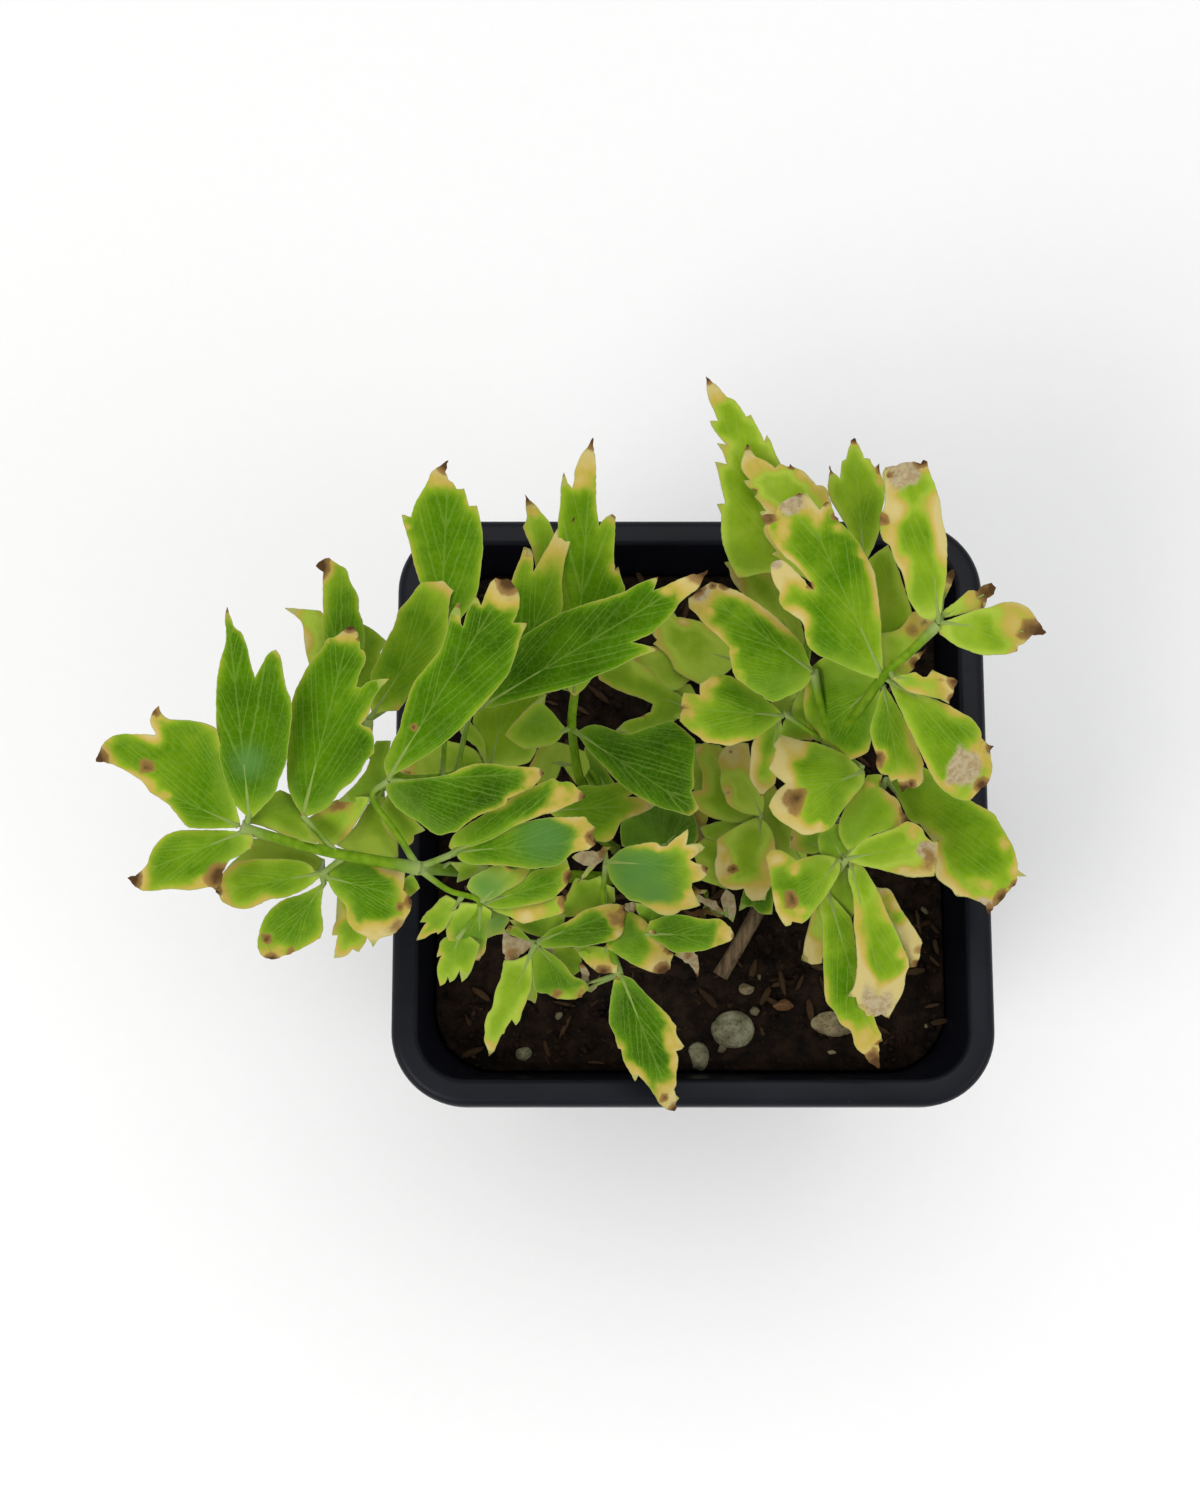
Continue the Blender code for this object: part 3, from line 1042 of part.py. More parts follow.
def main():
    """Build the pot, the soil, the pebbles and every frond."""
    clear_scene()
    plant = bpy.data.collections.new("potted lovage")
    drains = bpy.data.collections.new("drain cutters")
    beds = bpy.data.collections.new("soil cutters")
    for group in (plant, drains, beds):
        bpy.context.scene.collection.children.link(group)
    pot(plant, drains)
    for number, (name, (place, size, stands, colour)) in enumerate(PEBBLES.items()):
        obj = new_object(name, stone(name, place, size, stands, number, 0), plant)
        paint(obj, colour)
        new_object(name + "_bed", stone(name + "_bed", place, size, stands, number, GAP * 1.4), beds)
    for name, parts in FRONDS.items():
        frond(name, parts, plant)
        stem_hole(name, parts["stems"][0], beds)
    stub = tube("dry_stub", rooted_route(STUB[0]), STUB[1] * MM, plant)
    stub.name = "dry_stub"
    paint(stub, "dry leaf")
    stem_hole("dry_stub", STUB, beds)
    soil(plant, beds)
    for cutter in [*drains.objects, *beds.objects]:
        cutter.hide_render = True
        cutter.display_type = "WIRE"


main()
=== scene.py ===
import math
import random

import bpy
import bmesh
import numpy as np
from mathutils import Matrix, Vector, noise
from mathutils.geometry import delaunay_2d_cdt


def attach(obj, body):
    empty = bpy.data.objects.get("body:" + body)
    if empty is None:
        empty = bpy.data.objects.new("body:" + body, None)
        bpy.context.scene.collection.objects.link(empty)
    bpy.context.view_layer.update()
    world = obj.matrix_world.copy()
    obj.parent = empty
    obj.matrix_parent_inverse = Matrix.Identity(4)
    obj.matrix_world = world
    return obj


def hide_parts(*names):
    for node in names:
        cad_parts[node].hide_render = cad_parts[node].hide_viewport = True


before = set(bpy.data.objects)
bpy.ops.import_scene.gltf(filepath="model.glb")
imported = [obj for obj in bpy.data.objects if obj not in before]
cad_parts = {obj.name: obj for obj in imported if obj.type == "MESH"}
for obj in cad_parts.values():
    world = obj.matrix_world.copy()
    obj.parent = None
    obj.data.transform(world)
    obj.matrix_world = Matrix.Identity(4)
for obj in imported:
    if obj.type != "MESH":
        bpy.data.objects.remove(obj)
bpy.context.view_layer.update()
print("frame loaded:", len(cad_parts), "nodes")

mm = 0.001
potHeight = 0.090
rimSide = 0.100
soilDrop = 0.013

# The photo's camera: focal length in pixels of a 1200 x 1500 picture, its tilt, and its place
photo = dict(centre=(600, 750), focal=2420, tilt=math.radians(10.85), eye=(-0.0154, -0.0673, 0.4913),
             longSide=1500, sensor=36)
eye = Vector(photo["eye"])
sightForward = Vector((0, math.sin(photo["tilt"]), -math.cos(photo["tilt"])))
sightUp = Vector((0, math.cos(photo["tilt"]), math.sin(photo["tilt"])))


# Sheet pixels and heights in mm over the rim, as arrays, to places in metres
def sheetPlaces(x, y, height):
    x, y, height = (np.asarray(v, float) for v in (x, y, height))
    ray = np.array(sightForward) + ((x - photo["centre"][0]) / photo["focal"])[..., None] * [1, 0, 0]
    ray = ray + ((photo["centre"][1] - y) / photo["focal"])[..., None] * np.array(sightUp)
    level = potHeight + height * mm
    return np.array(eye) + ray * ((level - eye.z) / ray[..., 2])[..., None]


def sheetPoint(x, y, height):
    return Vector(sheetPlaces(x, y, height))


# A mesh object from arrays, with its point attributes
def meshPiece(name, verts, faces, attributes=None, slots=None, sharp=None):
    mesh = bpy.data.meshes.new(name)
    mesh.from_pydata([tuple(v) for v in verts], [], [tuple(f) for f in faces])
    for key, values in (attributes or {}).items():
        mesh.attributes.new(key, "FLOAT", "POINT").data.foreach_set("value", np.asarray(values, np.float32))
    if slots is not None:
        mesh.polygons.foreach_set("material_index", np.asarray(slots, np.int32))
    mesh.shade_smooth()
    if sharp:
        mesh.set_sharp_from_angle(angle=math.radians(sharp))
    mesh.update()
    piece = bpy.data.objects.new(name, mesh)
    bpy.context.scene.collection.objects.link(piece)
    return piece


# Wraps a socket so that shader maths reads as plain expressions
class Signal:
    def __init__(self, finish, socket):
        self.finish = finish
        self.socket = socket

    def math(self, operation, *others):
        inputs = dict(enumerate((self, *others)))
        return self.finish.node("Math", dict(operation=operation), inputs)

    def __add__(self, other):
        return self.math("ADD", other)

    def __radd__(self, other):
        return self.math("ADD", other)

    def __mul__(self, other):
        return self.math("MULTIPLY", other)

    def __rmul__(self, other):
        return self.math("MULTIPLY", other)

    def __sub__(self, other):
        return self.math("SUBTRACT", other)

    def __rsub__(self, other):
        return self.finish.node("Math", dict(operation="SUBTRACT"), {0: other, 1: self})

    # 0 below low, 1 above high, with a soft step between
    def step(self, low, high):
        return self.finish.node("MapRange", dict(interpolation_type="SMOOTHSTEP"),
                                {"Value": self, "From Min": low, "From Max": high})

    def clamped(self):
        return self.math("MINIMUM", 1).math("MAXIMUM", 0)


# One material and the node that shades it
class Finish:
    def __init__(self, name):
        self.material = bpy.data.materials.new(name)
        self.material.use_nodes = True
        self.tree = self.material.node_tree
        self.shader = self.tree.nodes["Principled BSDF"]

    def node(self, kind, settings=None, inputs=None, output=0):
        made = self.tree.nodes.new("ShaderNode" + kind)
        for key, value in (settings or {}).items():
            if key == "stops":
                ramp = made.color_ramp.elements
                while len(ramp) < len(value):
                    ramp.new(0.5)
                for stop, (place, colour) in zip(ramp, value):
                    stop.position = place
                    stop.color = (*colour, 1)
            else:
                setattr(made, key, value)
        for key, value in (inputs or {}).items():
            self.feed(made.inputs[key], value)
        return Signal(self, made.outputs[output])

    def feed(self, socket, value):
        if isinstance(value, Signal):
            self.tree.links.new(value.socket, socket)
        elif isinstance(value, tuple) and len(socket.default_value) == 4:
            socket.default_value = (*value, 1)
        else:
            socket.default_value = value

    def attribute(self, name):
        return self.node("Attribute", dict(attribute_name=name), output=2)

    def place(self):
        return self.node("TexCoord", output=3)

    def grain(self, scale, detail=3, roughness=0.5, stretch=None):
        place = self.place()
        if stretch:
            place = self.node("Mapping", inputs={"Vector": place, "Scale": stretch})
        return self.node("TexNoise", inputs={"Vector": place, "Scale": scale, "Detail": detail,
                                             "Roughness": roughness})

    def blend(self, factor, first, second):
        return self.node("Mix", dict(data_type="RGBA", clamp_factor=True),
                         {0: factor, 6: first, 7: second}, output=2)

    def bump(self, height, strength, distance):
        return self.node("Bump", inputs={"Height": height, "Strength": strength, "Distance": distance})

    def shade(self, **values):
        for key, value in values.items():
            self.feed(self.shader.inputs[key.replace("_", " ")], value)
        return self.material


# Leaves

leafLook = dict(
    deep=(0.012, 0.050, 0.001), fresh=(0.060, 0.160, 0.001), pale=(0.190, 0.310, 0.010), light=(0.340, 0.450, 0.045),
    turning=(0.290, 0.330, 0.025), gold=(0.440, 0.330, 0.065), straw=(0.500, 0.410, 0.160),
    tan=(0.230, 0.125, 0.040), brown=(0.060, 0.027, 0.012), paper=(0.400, 0.335, 0.200),
    vein=(0.220, 0.330, 0.060), under=(0.130, 0.215, 0.050), edge=(0.270, 0.330, 0.090),
    bloom=(0.080, 0.195, 0.045), veinWidth=0.15, veinShow=0.30, netScale=900, netShow=0.09, hairline=0.15,
    roughness=0.52, specular=0.07, tint=(0.7, 1.0, 0.15), reliefStrength=0.45, reliefDepth=0.00014)


def leafFinish():
    look = leafLook
    leaf = Finish("leafBlade")
    tone, edgeGap = leaf.attribute("tone"), leaf.attribute("edgeGap")
    fan, fanStep, midGap = leaf.attribute("fan"), leaf.attribute("fanStep"), leaf.attribute("midGap")
    yellowing, browning = leaf.attribute("yellowing"), leaf.attribute("browning")
    papering, blooming = leaf.attribute("papering"), leaf.attribute("blooming")
    under = leaf.attribute("under")
    cloud = leaf.grain(140, 3)
    speck = leaf.grain(1100, 4, 0.6)
    patch = leaf.grain(380, 4, 0.6)
    # tone is each leaflet's own green with painted light mixed in: leaflets lying in shade were given lighter tones
    ripe = tone + yellowing.step(-0.7, 0.2) * 0.2 + (cloud - 0.5) * 0.7 + (speck - 0.5) * 0.12
    stops = [(0, look["deep"]), (0.4, look["fresh"]), (0.75, look["pale"]), (1, look["light"])]
    green = leaf.node("ValToRGB", dict(stops=stops), {"Fac": ripe.clamped()})
    whole = fan.math("ROUND")
    gap = (fan - whole).math("ABSOLUTE") * fanStep
    strong = leaf.node("TexWhiteNoise", dict(noise_dimensions="1D"), {"W": whole}) * 0.6 + 0.4
    between = fan - 0.5
    gapBetween = (between - between.math("ROUND")).math("ABSOLUTE") * fanStep
    wide = look["veinWidth"]
    vein = (1 - gap.step(wide * 0.3, wide)) * strong
    fine = (1 - gapBetween.step(wide * 0.2, wide * 0.8)) * (1 - edgeGap.step(0.5, 3.0)) * 0.5
    rib = (1 - midGap.step(wide * 0.4, wide * 1.4)) * 0.9
    lines = vein.math("MAXIMUM", fine).math("MAXIMUM", rib)
    cell = leaf.node("TexVoronoi", dict(feature="DISTANCE_TO_EDGE"),
                     {"Vector": leaf.place(), "Scale": look["netScale"]})
    net = (1 - cell.step(0.02, 0.12)) * look["netShow"]
    green = leaf.blend(net, green, look["vein"])
    green = leaf.blend(lines * look["veinShow"], green, look["vein"])
    # Painted sheen: the bluish-sheen marks lay a painted bluish sheen into the base colour
    green = leaf.blend(blooming.step(0.0, 0.9) * 0.8, green, look["bloom"])
    green = leaf.blend(under * 0.55, green, look["under"])
    fade = yellowing + (patch - 0.5) * 0.5 + (speck - 0.5) * 0.14 - lines * 0.08
    autumn = [(0, look["turning"]), (0.5, look["gold"]), (1, look["straw"])]
    turned = leaf.node("ValToRGB", dict(stops=autumn), {"Fac": fade.clamped()})
    colour = leaf.blend(fade.step(-0.2, 0.5), green, turned)
    hair = (1 - edgeGap.step(look["hairline"] * 0.3, look["hairline"])) * 0.6
    colour = leaf.blend(hair, colour, look["edge"])
    dried = (papering + (patch - 0.5) * 0.5).step(0.25, 0.6)
    colour = leaf.blend(dried, colour, leaf.blend(speck.step(0.4, 0.62) * 0.5, look["paper"], look["tan"]))
    scorch = browning + (patch - 0.5) * 0.5 + (speck - 0.5) * 0.2
    colour = leaf.blend(scorch.step(0.0, 0.30) * 0.9, colour, look["tan"])
    colour = leaf.blend(scorch.step(0.28, 0.85) * 0.92, colour, look["brown"])
    relief = gap.step(0, 0.9) * 0.6 + midGap.step(0, 0.6) * 0.6 + cell.step(0, 0.3) * 0.10 + speck * 0.12
    return leaf.shade(Base_Color=colour, Roughness=scorch.step(0.1, 0.4) * 0.3 + look["roughness"],
                      Specular_IOR_Level=look["specular"], Specular_Tint=look["tint"],
                      Normal=leaf.bump(relief, look["reliefStrength"], look["reliefDepth"]))


stemLook = dict(
    dark=(0.085, 0.180, 0.003), light=(0.150, 0.260, 0.012), joint=(0.270, 0.330, 0.120), foot=(0.170, 0.140, 0.055),
    footReach=(-0.008, 0.010), roughness=0.45, specular=0.12, tint=(0.8, 1.0, 0.3))


def stemFinish():
    look = stemLook
    stem = Finish("leafStem")
    rise = stem.attribute("rise")
    streak = stem.grain(1, 3, 0.5, stretch=(900, 900, 90))
    green = stem.blend(streak.step(0.25, 0.75), look["dark"], look["light"])
    # Painted highlight: swollen joints are lightened towards the joint colour; along the leaflet midribs the same
    # paling is their own paler green
    green = stem.blend(stem.attribute("paling") * 0.8, green, look["joint"])
    colour = stem.blend(rise.step(*look["footReach"]), look["foot"], green)
    fleck = stem.grain(1500, 3)
    return stem.shade(Base_Color=colour, Roughness=look["roughness"] - fleck * 0.1,
                      Specular_IOR_Level=look["specular"], Specular_Tint=look["tint"],
                      Normal=stem.bump(streak + fleck * 0.3, 0.35, 0.00015))


# Each frond: the node that it stands for, its stems as (x, y, height over the rim) with a thickness in mm,
# and its leaflets: where each grows from, its tip, both heights, how far its middle arches and its sides
# lift, its look (tone, then width of yellow margin, yellow tip and brown tip in mm), marks that the leaf has
# at a place with their reach in pixels (the bluish-sheen kind is painted sheen, not the leaf's own colour), and its
# margin
# Each leaflet's tone is its own green with painted light mixed in: leaflets lying in shade have lighter tones
fronds = {
    "frondWest": dict(node="frond_west", slot="leaf_green", stems=[
        ([(622, 880, -13), (560, 876, 16), (480, 872, 43), (418, 868, 57)], 2.3),
        ([(418, 868, 57), (330, 852, 62), (241, 828, 66)], 1.8),
        ([(418, 868, 57), (396, 832, 59), (372, 797, 60), (388, 781, 61)], 1),
        ([(418, 868, 57), (450, 855, 56)], 1),
        ([(418, 868, 57), (448, 890, 55), (480, 903, 53), (458, 938, 48)], 0.9),
        ([(345, 856, 61), (322, 874, 58)], 0.9),
        ([(335, 852, 62), (303, 816, 62)], 0.9),
    ], leaves=[
        ((250, 819), (227, 608), (66, 71), 2.5, 3, (0.36, 0.3, 2.5, 1.2), [("gold", 276, 655, 8),
         ("bloom", 249, 762, 16)], [
         (232, 800), (225, 781), (220, 762), (217, 735), (216, 708), (217, 681), (220, 662), (225, 645),
         (226, 632), (225, 618), (227, 608), (231, 618), (235, 628), (241, 632), (247, 647), (251, 665),
         (255, 678), (262, 665), (268, 654), (276, 650), (280, 655), (283, 670), (286, 688), (291, 700),
         (292, 715), (289, 742), (286, 762), (279, 780), (275, 793), (263, 807)]),
        ((241, 827), (96, 762), (66, 69), 2, 3, (0.52, 1, 4, 2.4), [("brown", 148, 765, 9),
         ("gold", 150, 782, 14), ("gold", 168, 795, 8), ("brown", 156, 712, 5), ("gold", 112, 742, 12)], [
         (190, 828), (183, 822), (174, 811), (168, 804), (158, 797), (150, 792), (143, 782), (136, 777),
         (120, 768), (108, 763), (96, 762), (98, 753), (105, 742), (116, 735), (133, 734), (155, 735),
         (156, 733), (151, 724), (151, 716), (155, 708), (159, 706), (160, 712), (166, 718), (177, 720),
         (193, 721), (212, 726), (217, 730), (225, 770)]),
        ((244, 832), (128, 878), (66, 61), 2, 2, (0.54, 0.7, 4, 2.2), [("brown", 216, 874, 13),
         ("gold", 205, 880, 14), ("gold", 150, 850, 6)], [
         (188, 830), (170, 833), (158, 842), (151, 853), (147, 865), (138, 873), (128, 878), (135, 887),
         (147, 891), (170, 889), (193, 890), (210, 887), (215, 890), (220, 883), (228, 862), (240, 855),
         (252, 847), (253, 835)]),
        ((244, 822), (290, 800), (64, 61), 1, 1, (0.59, 0.3, 0, 0), [], [
         (250, 806), (280, 790), (296, 798), (303, 818), (317, 844), (290, 837), (262, 826)]),
        ((303, 816), (351, 625), (62, 68), 2, 2, (0.36, 0.4, 3.5, 1.6), [("gold", 384, 681, 8),
         ("gold", 340, 633, 9), ("brown", 357, 640, 4)], [
         (289, 790), (287, 764), (289, 736), (291, 710), (294, 694), (301, 679), (311, 661), (323, 647),
         (327, 639), (337, 636), (344, 629), (351, 625), (356, 630), (359, 639), (360, 649), (364, 651),
         (366, 660), (360, 673), (356, 687), (361, 688), (370, 681), (389, 679), (380, 689), (373, 700),
         (369, 713), (361, 724), (364, 726), (371, 728), (374, 740), (374, 753), (366, 761), (359, 774),
         (351, 783), (341, 790), (328, 807), (312, 815)]),
        ((372, 797), (330, 848), (60, 57), 1, 1, (0.72, 0.6, 1, 0), [("tan", 342, 807, 15)], [
         (355, 797), (335, 801), (318, 812), (303, 822), (305, 835), (330, 848), (345, 838), (358, 820),
         (368, 803)]),
        ((384, 790), (376, 741), (59, 58), 0, 1, (0.48, 0.2, 0, 0), [], [
         (378, 799), (356, 802), (338, 801), (352, 788), (366, 770), (371, 757), (376, 741), (391, 741),
         (387, 762), (387, 776)]),
        ((388, 779), (511, 579), (61, 67), 3, 3, (0.32, 0.4, 4.5, 2.2), [("brown", 415, 728, 5),
         ("gold", 458, 618, 9), ("brown", 459, 606, 4), ("gold", 521, 630, 8), ("gold", 500, 590, 15)], [
         (384, 764), (388, 753), (393, 741), (399, 730), (403, 714), (413, 684), (423, 671), (431, 661),
         (440, 650), (447, 630), (451, 613), (457, 603), (460, 603), (461, 624), (463, 627), (467, 613),
         (476, 596), (481, 606), (486, 593), (491, 583), (496, 578), (500, 580), (511, 579), (516, 587),
         (519, 596), (519, 608), (513, 623), (527, 623), (521, 637), (517, 650), (508, 674), (483, 705),
         (449, 739), (415, 763), (390, 777)]),
        ((388, 781), (545, 773), (61, 57), 3, -2, (0.25, 0.5, 3, 1.2), [("gold", 530, 780, 14)], [
         (400, 780), (432, 777), (449, 774), (462, 768), (475, 764), (493, 764), (509, 766), (526, 767),
         (540, 768), (545, 773), (537, 782), (533, 787), (520, 793), (507, 799), (505, 805), (488, 812),
         (478, 816), (467, 823), (458, 831), (449, 833), (441, 835), (433, 833), (420, 823), (407, 815),
         (396, 807), (390, 798), (386, 789)]),
        ((384, 792), (340, 850), (56, 54), 0, 1, (0.8, 0.3, 0, 0), [("pale", 372, 847, 14)], [
         (370, 802), (355, 826), (336, 845), (352, 852), (378, 858), (398, 857), (397, 842), (388, 820)]),
        ((325, 860), (236, 866), (54, 52), 0, 0, (0.94, 0.3, 0, 0), [], [
         (300, 848), (270, 841), (252, 838), (245, 850), (227, 868), (243, 868), (262, 862), (300, 866),
         (318, 872)]),
        ((323, 873), (216, 892), (58, 56), 2, 1, (0.64, 0.7, 2.5, 1), [("gold", 226, 897, 10),
         ("brown", 219, 884, 4)], [
         (315, 873), (310, 865), (295, 860), (273, 859), (250, 859), (235, 863), (223, 873), (217, 885),
         (216, 892), (223, 902), (233, 907), (245, 909), (258, 905), (270, 899), (283, 898), (303, 890),
         (317, 880)]),
        ((327, 877), (413, 900), (58, 56), 1, -2, (0.41, 1.2, 3, 1.4), [("gold", 375, 926, 16),
         ("gold", 352, 920, 12), ("brown", 400, 905, 6), ("tan", 395, 924, 10)], [
         (332, 890), (345, 905), (347, 917), (348, 922), (357, 932), (367, 937), (373, 947), (380, 938),
         (393, 934), (403, 923), (410, 910), (413, 900), (403, 890), (405, 870), (387, 867), (362, 863),
         (340, 860), (328, 868)]),
        ((325, 882), (272, 959), (57, 51), 2, 1, (0.51, 0.7, 3, 1.8), [("brown", 268, 938, 6),
         ("brown", 290, 951, 6), ("gold", 278, 948, 14)], [
         (304, 893), (283, 900), (272, 908), (263, 920), (259, 933), (258, 947), (263, 957), (272, 959),
         (287, 955), (303, 948), (320, 938), (323, 928), (321, 907), (323, 890)]),
        ((338, 886), (334, 958), (56, 49), 1, 0, (0.64, 1.2, 2, 0), [], [
         (343, 913), (335, 923), (332, 935), (338, 935), (334, 958), (347, 955), (353, 949), (359, 952),
         (367, 938), (366, 915)]),
        ((412, 874), (408, 898), (56, 54), 0, 0, (0.49, 0.3, 0, 0), [], [
         (402, 880), (408, 898), (420, 888)]),
        ((454, 851), (586, 797), (56, 53), 2, 1, (0.4, 0.8, 3.5, 1.8), [("gold", 560, 794, 18),
         ("tan", 580, 793, 6)], [
         (449, 847), (454, 835), (488, 812), (520, 793), (546, 781), (553, 778), (559, 782), (570, 782),
         (578, 789), (586, 797), (574, 803), (565, 807), (555, 812), (546, 814), (526, 820), (490, 840)]),
        ((455, 852), (597, 841), (55, 51), 2, 2, (0.39, 1, 3.5, 1.4), [("bloom", 545, 838, 26),
         ("gold", 584, 838, 17), ("brown", 589, 838, 7), ("pale", 590, 850, 8)], [
         (490, 832), (526, 822), (546, 818), (572, 817), (586, 817), (588, 822), (595, 828), (593, 833),
         (597, 841), (592, 848), (580, 851), (572, 853), (565, 860), (559, 865), (540, 868), (532, 869),
         (508, 866), (488, 865), (474, 865), (461, 861)]),
        ((450, 862), (457, 882), (54, 51), 0, 0, (0.71, 0.6, 0, 0), [], [
         (459, 872), (457, 882), (472, 876), (488, 866)]),
        ((480, 903), (529, 857), (53.5, 51), 1, 3, (0.77, 0.3, 2, 1), [("bloom", 488, 888, 22),
         ("pale", 500, 870, 14), ("tan", 507, 867, 7), ("gold", 520, 868, 12)], [
         (467, 887), (471, 878), (480, 872), (493, 866), (505, 864), (509, 868), (515, 870), (522, 866),
         (529, 857), (532, 864), (529, 872), (521, 882), (507, 890), (493, 899)]),
        ((480, 904), (572, 877), (52.5, 50), 1, 2, (0.49, 0.3, 2, 1.4), [("gold", 566, 882, 8),
         ("gold", 562, 892, 7), ("tan", 565, 862, 5)], [
         (493, 899), (507, 890), (521, 882), (532, 872), (545, 868), (562, 862), (564, 852), (568, 864),
         (572, 877), (568, 884), (562, 890), (552, 899), (530, 905), (500, 909)]),
        ((484, 906), (566, 897), (52, 50.5), 0, -1, (0.75, 0.8, 2, 1), [("gold", 540, 910, 14),
         ("straw", 525, 916, 14), ("rust", 562, 903, 9)], [
         (510, 903), (530, 903), (555, 896), (566, 897), (563, 913), (550, 917), (534, 921), (523, 924),
         (510, 917), (497, 912)]),
        ((480, 904), (479, 960), (53, 42), 1, 0, (0.58, 0.7, 2, 0.5), [("gold", 458, 945, 9),
         ("gold", 450, 930, 6)], [
         (460, 903), (458, 909), (452, 911), (450, 917), (448, 924), (446, 930), (447, 937), (450, 942),
         (454, 947), (459, 953), (464, 956), (470, 958), (474, 959), (479, 960), (481, 956), (485, 952),
         (486, 945), (487, 938), (489, 929), (490, 921), (492, 913), (491, 910)]),
        ((459, 902), (417, 940), (52, 48), 0, 1, (0.64, 0.9, 2, 0.4), [("gold", 426, 926, 8)], [
         (446, 895), (440, 899), (433, 907), (427, 912), (423, 917), (420, 922), (427, 922), (422, 929),
         (417, 940), (425, 938), (431, 934), (437, 932), (438, 934), (444, 930), (448, 924)]),
        ((462, 930), (440, 986), (48, 42), 0, 1, (0.58, 0.6, 1.5, 0.4), [], [
         (446, 937), (441, 941), (439, 947), (437, 957), (442, 955), (440, 958), (438, 963), (437, 970),
         (438, 978), (440, 986), (445, 983), (448, 976), (450, 982), (454, 980), (460, 970), (462, 982),
         (467, 978), (471, 971), (475, 960), (480, 945)]),
        ((392, 790), (413, 842), (58, 56), 0, 1, (0.7, 0.4, 1, 0.3), [], [
         (384, 800), (380, 815), (390, 835), (405, 848), (413, 842), (414, 835), (425, 830), (400, 805)]),
        ((488, 908), (510, 920), (51, 49), 0, 1, (0.97, 0.3, 0, 0), [("bloom", 497, 922, 14)], [
         (504, 913), (510, 920), (504, 928), (504, 933), (496, 935), (487, 938), (486, 924)]),
    ]),
    "frondNorthwest": dict(node="frond_northwest", slot="leaf_dark", stems=[
        ([(616, 850, -13), (560, 812, 5), (490, 772, 20), (440, 778, 32),
          (400, 777, 39), (370, 752, 42), (368, 720, 43)], 1.8),
        ([(442, 778, 32), (446, 705, 42), (440, 640, 47)], 0.9),
        ([(368, 735, 42), (353, 708, 44), (345, 682, 44)], 0.9),
        ([(455, 777, 29), (470, 712, 44)], 0.9),
        ([(560, 812, 5), (545, 810, 16)], 0.9),
    ], leaves=[
        ((440, 640), (449, 460), (47, 54), 2, 2, (0.5, 0.5, 4.5, 2.4), [("gold", 407, 525, 7),
         ("gold", 437, 482, 12), ("gold", 471, 500, 7)], [
         (425, 610), (420, 583), (415, 568), (410, 546), (407, 535), (403, 521), (402, 515), (411, 517),
         (415, 504), (421, 493), (427, 483), (432, 472), (449, 460), (446, 472), (448, 480), (453, 483),
         (457, 489), (464, 489), (467, 498), (469, 506), (477, 506), (479, 514), (482, 530), (483, 548),
         (481, 568), (479, 585), (476, 596), (460, 620)]),
        ((372, 716), (462, 578), (44, 51), 2, 2, (0.57, 0.4, 5.5, 1.2), [("gold", 440, 585, 15),
         ("brown", 452, 584, 5)], [
         (371, 674), (380, 656), (386, 641), (394, 626), (399, 610), (409, 599), (420, 584), (429, 579),
         (449, 576), (462, 578), (452, 582), (455, 587), (450, 599), (446, 636), (428, 671), (410, 694),
         (399, 710), (382, 712)]),
        ((347, 684), (316, 566), (44, 46), 2, 1, (0.49, 0.4, 3, 2), [("gold", 330, 572, 8)], [
         (325, 645), (323, 607), (323, 586), (323, 572), (316, 566), (321, 559), (329, 558), (337, 564),
         (346, 569), (350, 580), (358, 597), (359, 611), (363, 623), (364, 650)]),
        ((347, 686), (285, 608), (42, 43), 1, 1, (0.96, 1.5, 4, 0.6), [], [
         (309, 664), (305, 647), (303, 627), (300, 620), (285, 608), (300, 609), (321, 611), (345, 645)]),
        ((385, 712), (363, 624), (41, 42), 1, 1, (0.58, 0.2, 0, 0), [], [
         (362, 700), (354, 676), (360, 650), (363, 624), (373, 630), (386, 641), (380, 656), (392, 700)]),
        ((480, 708), (708, 570), (45, 51), 3, -2, (0.26, 0.3, 6.5, 3.2), [("tan", 697, 580, 10),
         ("gold", 668, 592, 12), ("gold", 640, 588, 6), ("pale", 655, 648, 8)], [
         (492, 672), (520, 639), (540, 625), (562, 613), (583, 605), (606, 598), (626, 591), (640, 583),
         (658, 577), (653, 591), (665, 586), (684, 577), (700, 573), (708, 570), (704, 579), (697, 589),
         (686, 597), (678, 605), (673, 613), (661, 625), (651, 634), (639, 639), (632, 642), (658, 650),
         (640, 656), (629, 661), (614, 669), (598, 675), (587, 681), (566, 688), (528, 698), (494, 707)]),
        ((490, 768), (520, 642), (20, 27), 1, 2, (0.8, 0.3, 1, 0), [], [
         (484, 761), (478, 740), (473, 718), (492, 672), (520, 642), (545, 694), (538, 722), (537, 748),
         (530, 762), (508, 768)]),
        ((488, 768), (408, 773), (20, 25), 1, 1, (0.85, 0.8, 2, 0.6), [], [
         (430, 781), (402, 782), (397, 772), (408, 764), (424, 752), (445, 740), (475, 750)]),
        ((486, 764), (462, 722), (21, 24), 0, 1, (0.79, 0.2, 0, 0), [], [
         (480, 751), (462, 735), (458, 725), (470, 722), (484, 740)]),
        ((548, 811), (662, 804), (16, 22), 2, 2, (0.55, 0.6, 5, 1.4), [("gold", 648, 804, 12),
         ("gold", 608, 836, 11), ("straw", 632, 815, 8)], [
         (560, 797), (575, 788), (585, 785), (597, 786), (610, 784), (620, 782), (632, 781), (638, 784),
         (641, 788), (636, 792), (630, 795), (627, 797), (635, 797), (646, 798), (656, 798), (662, 804),
         (654, 807), (646, 811), (638, 815), (628, 818), (620, 823), (617, 830), (613, 838), (609, 841),
         (601, 842), (590, 838), (570, 828)]),
    ]),
    "frondNorth": dict(node="frond_north", slot="leaf_dark", stems=[
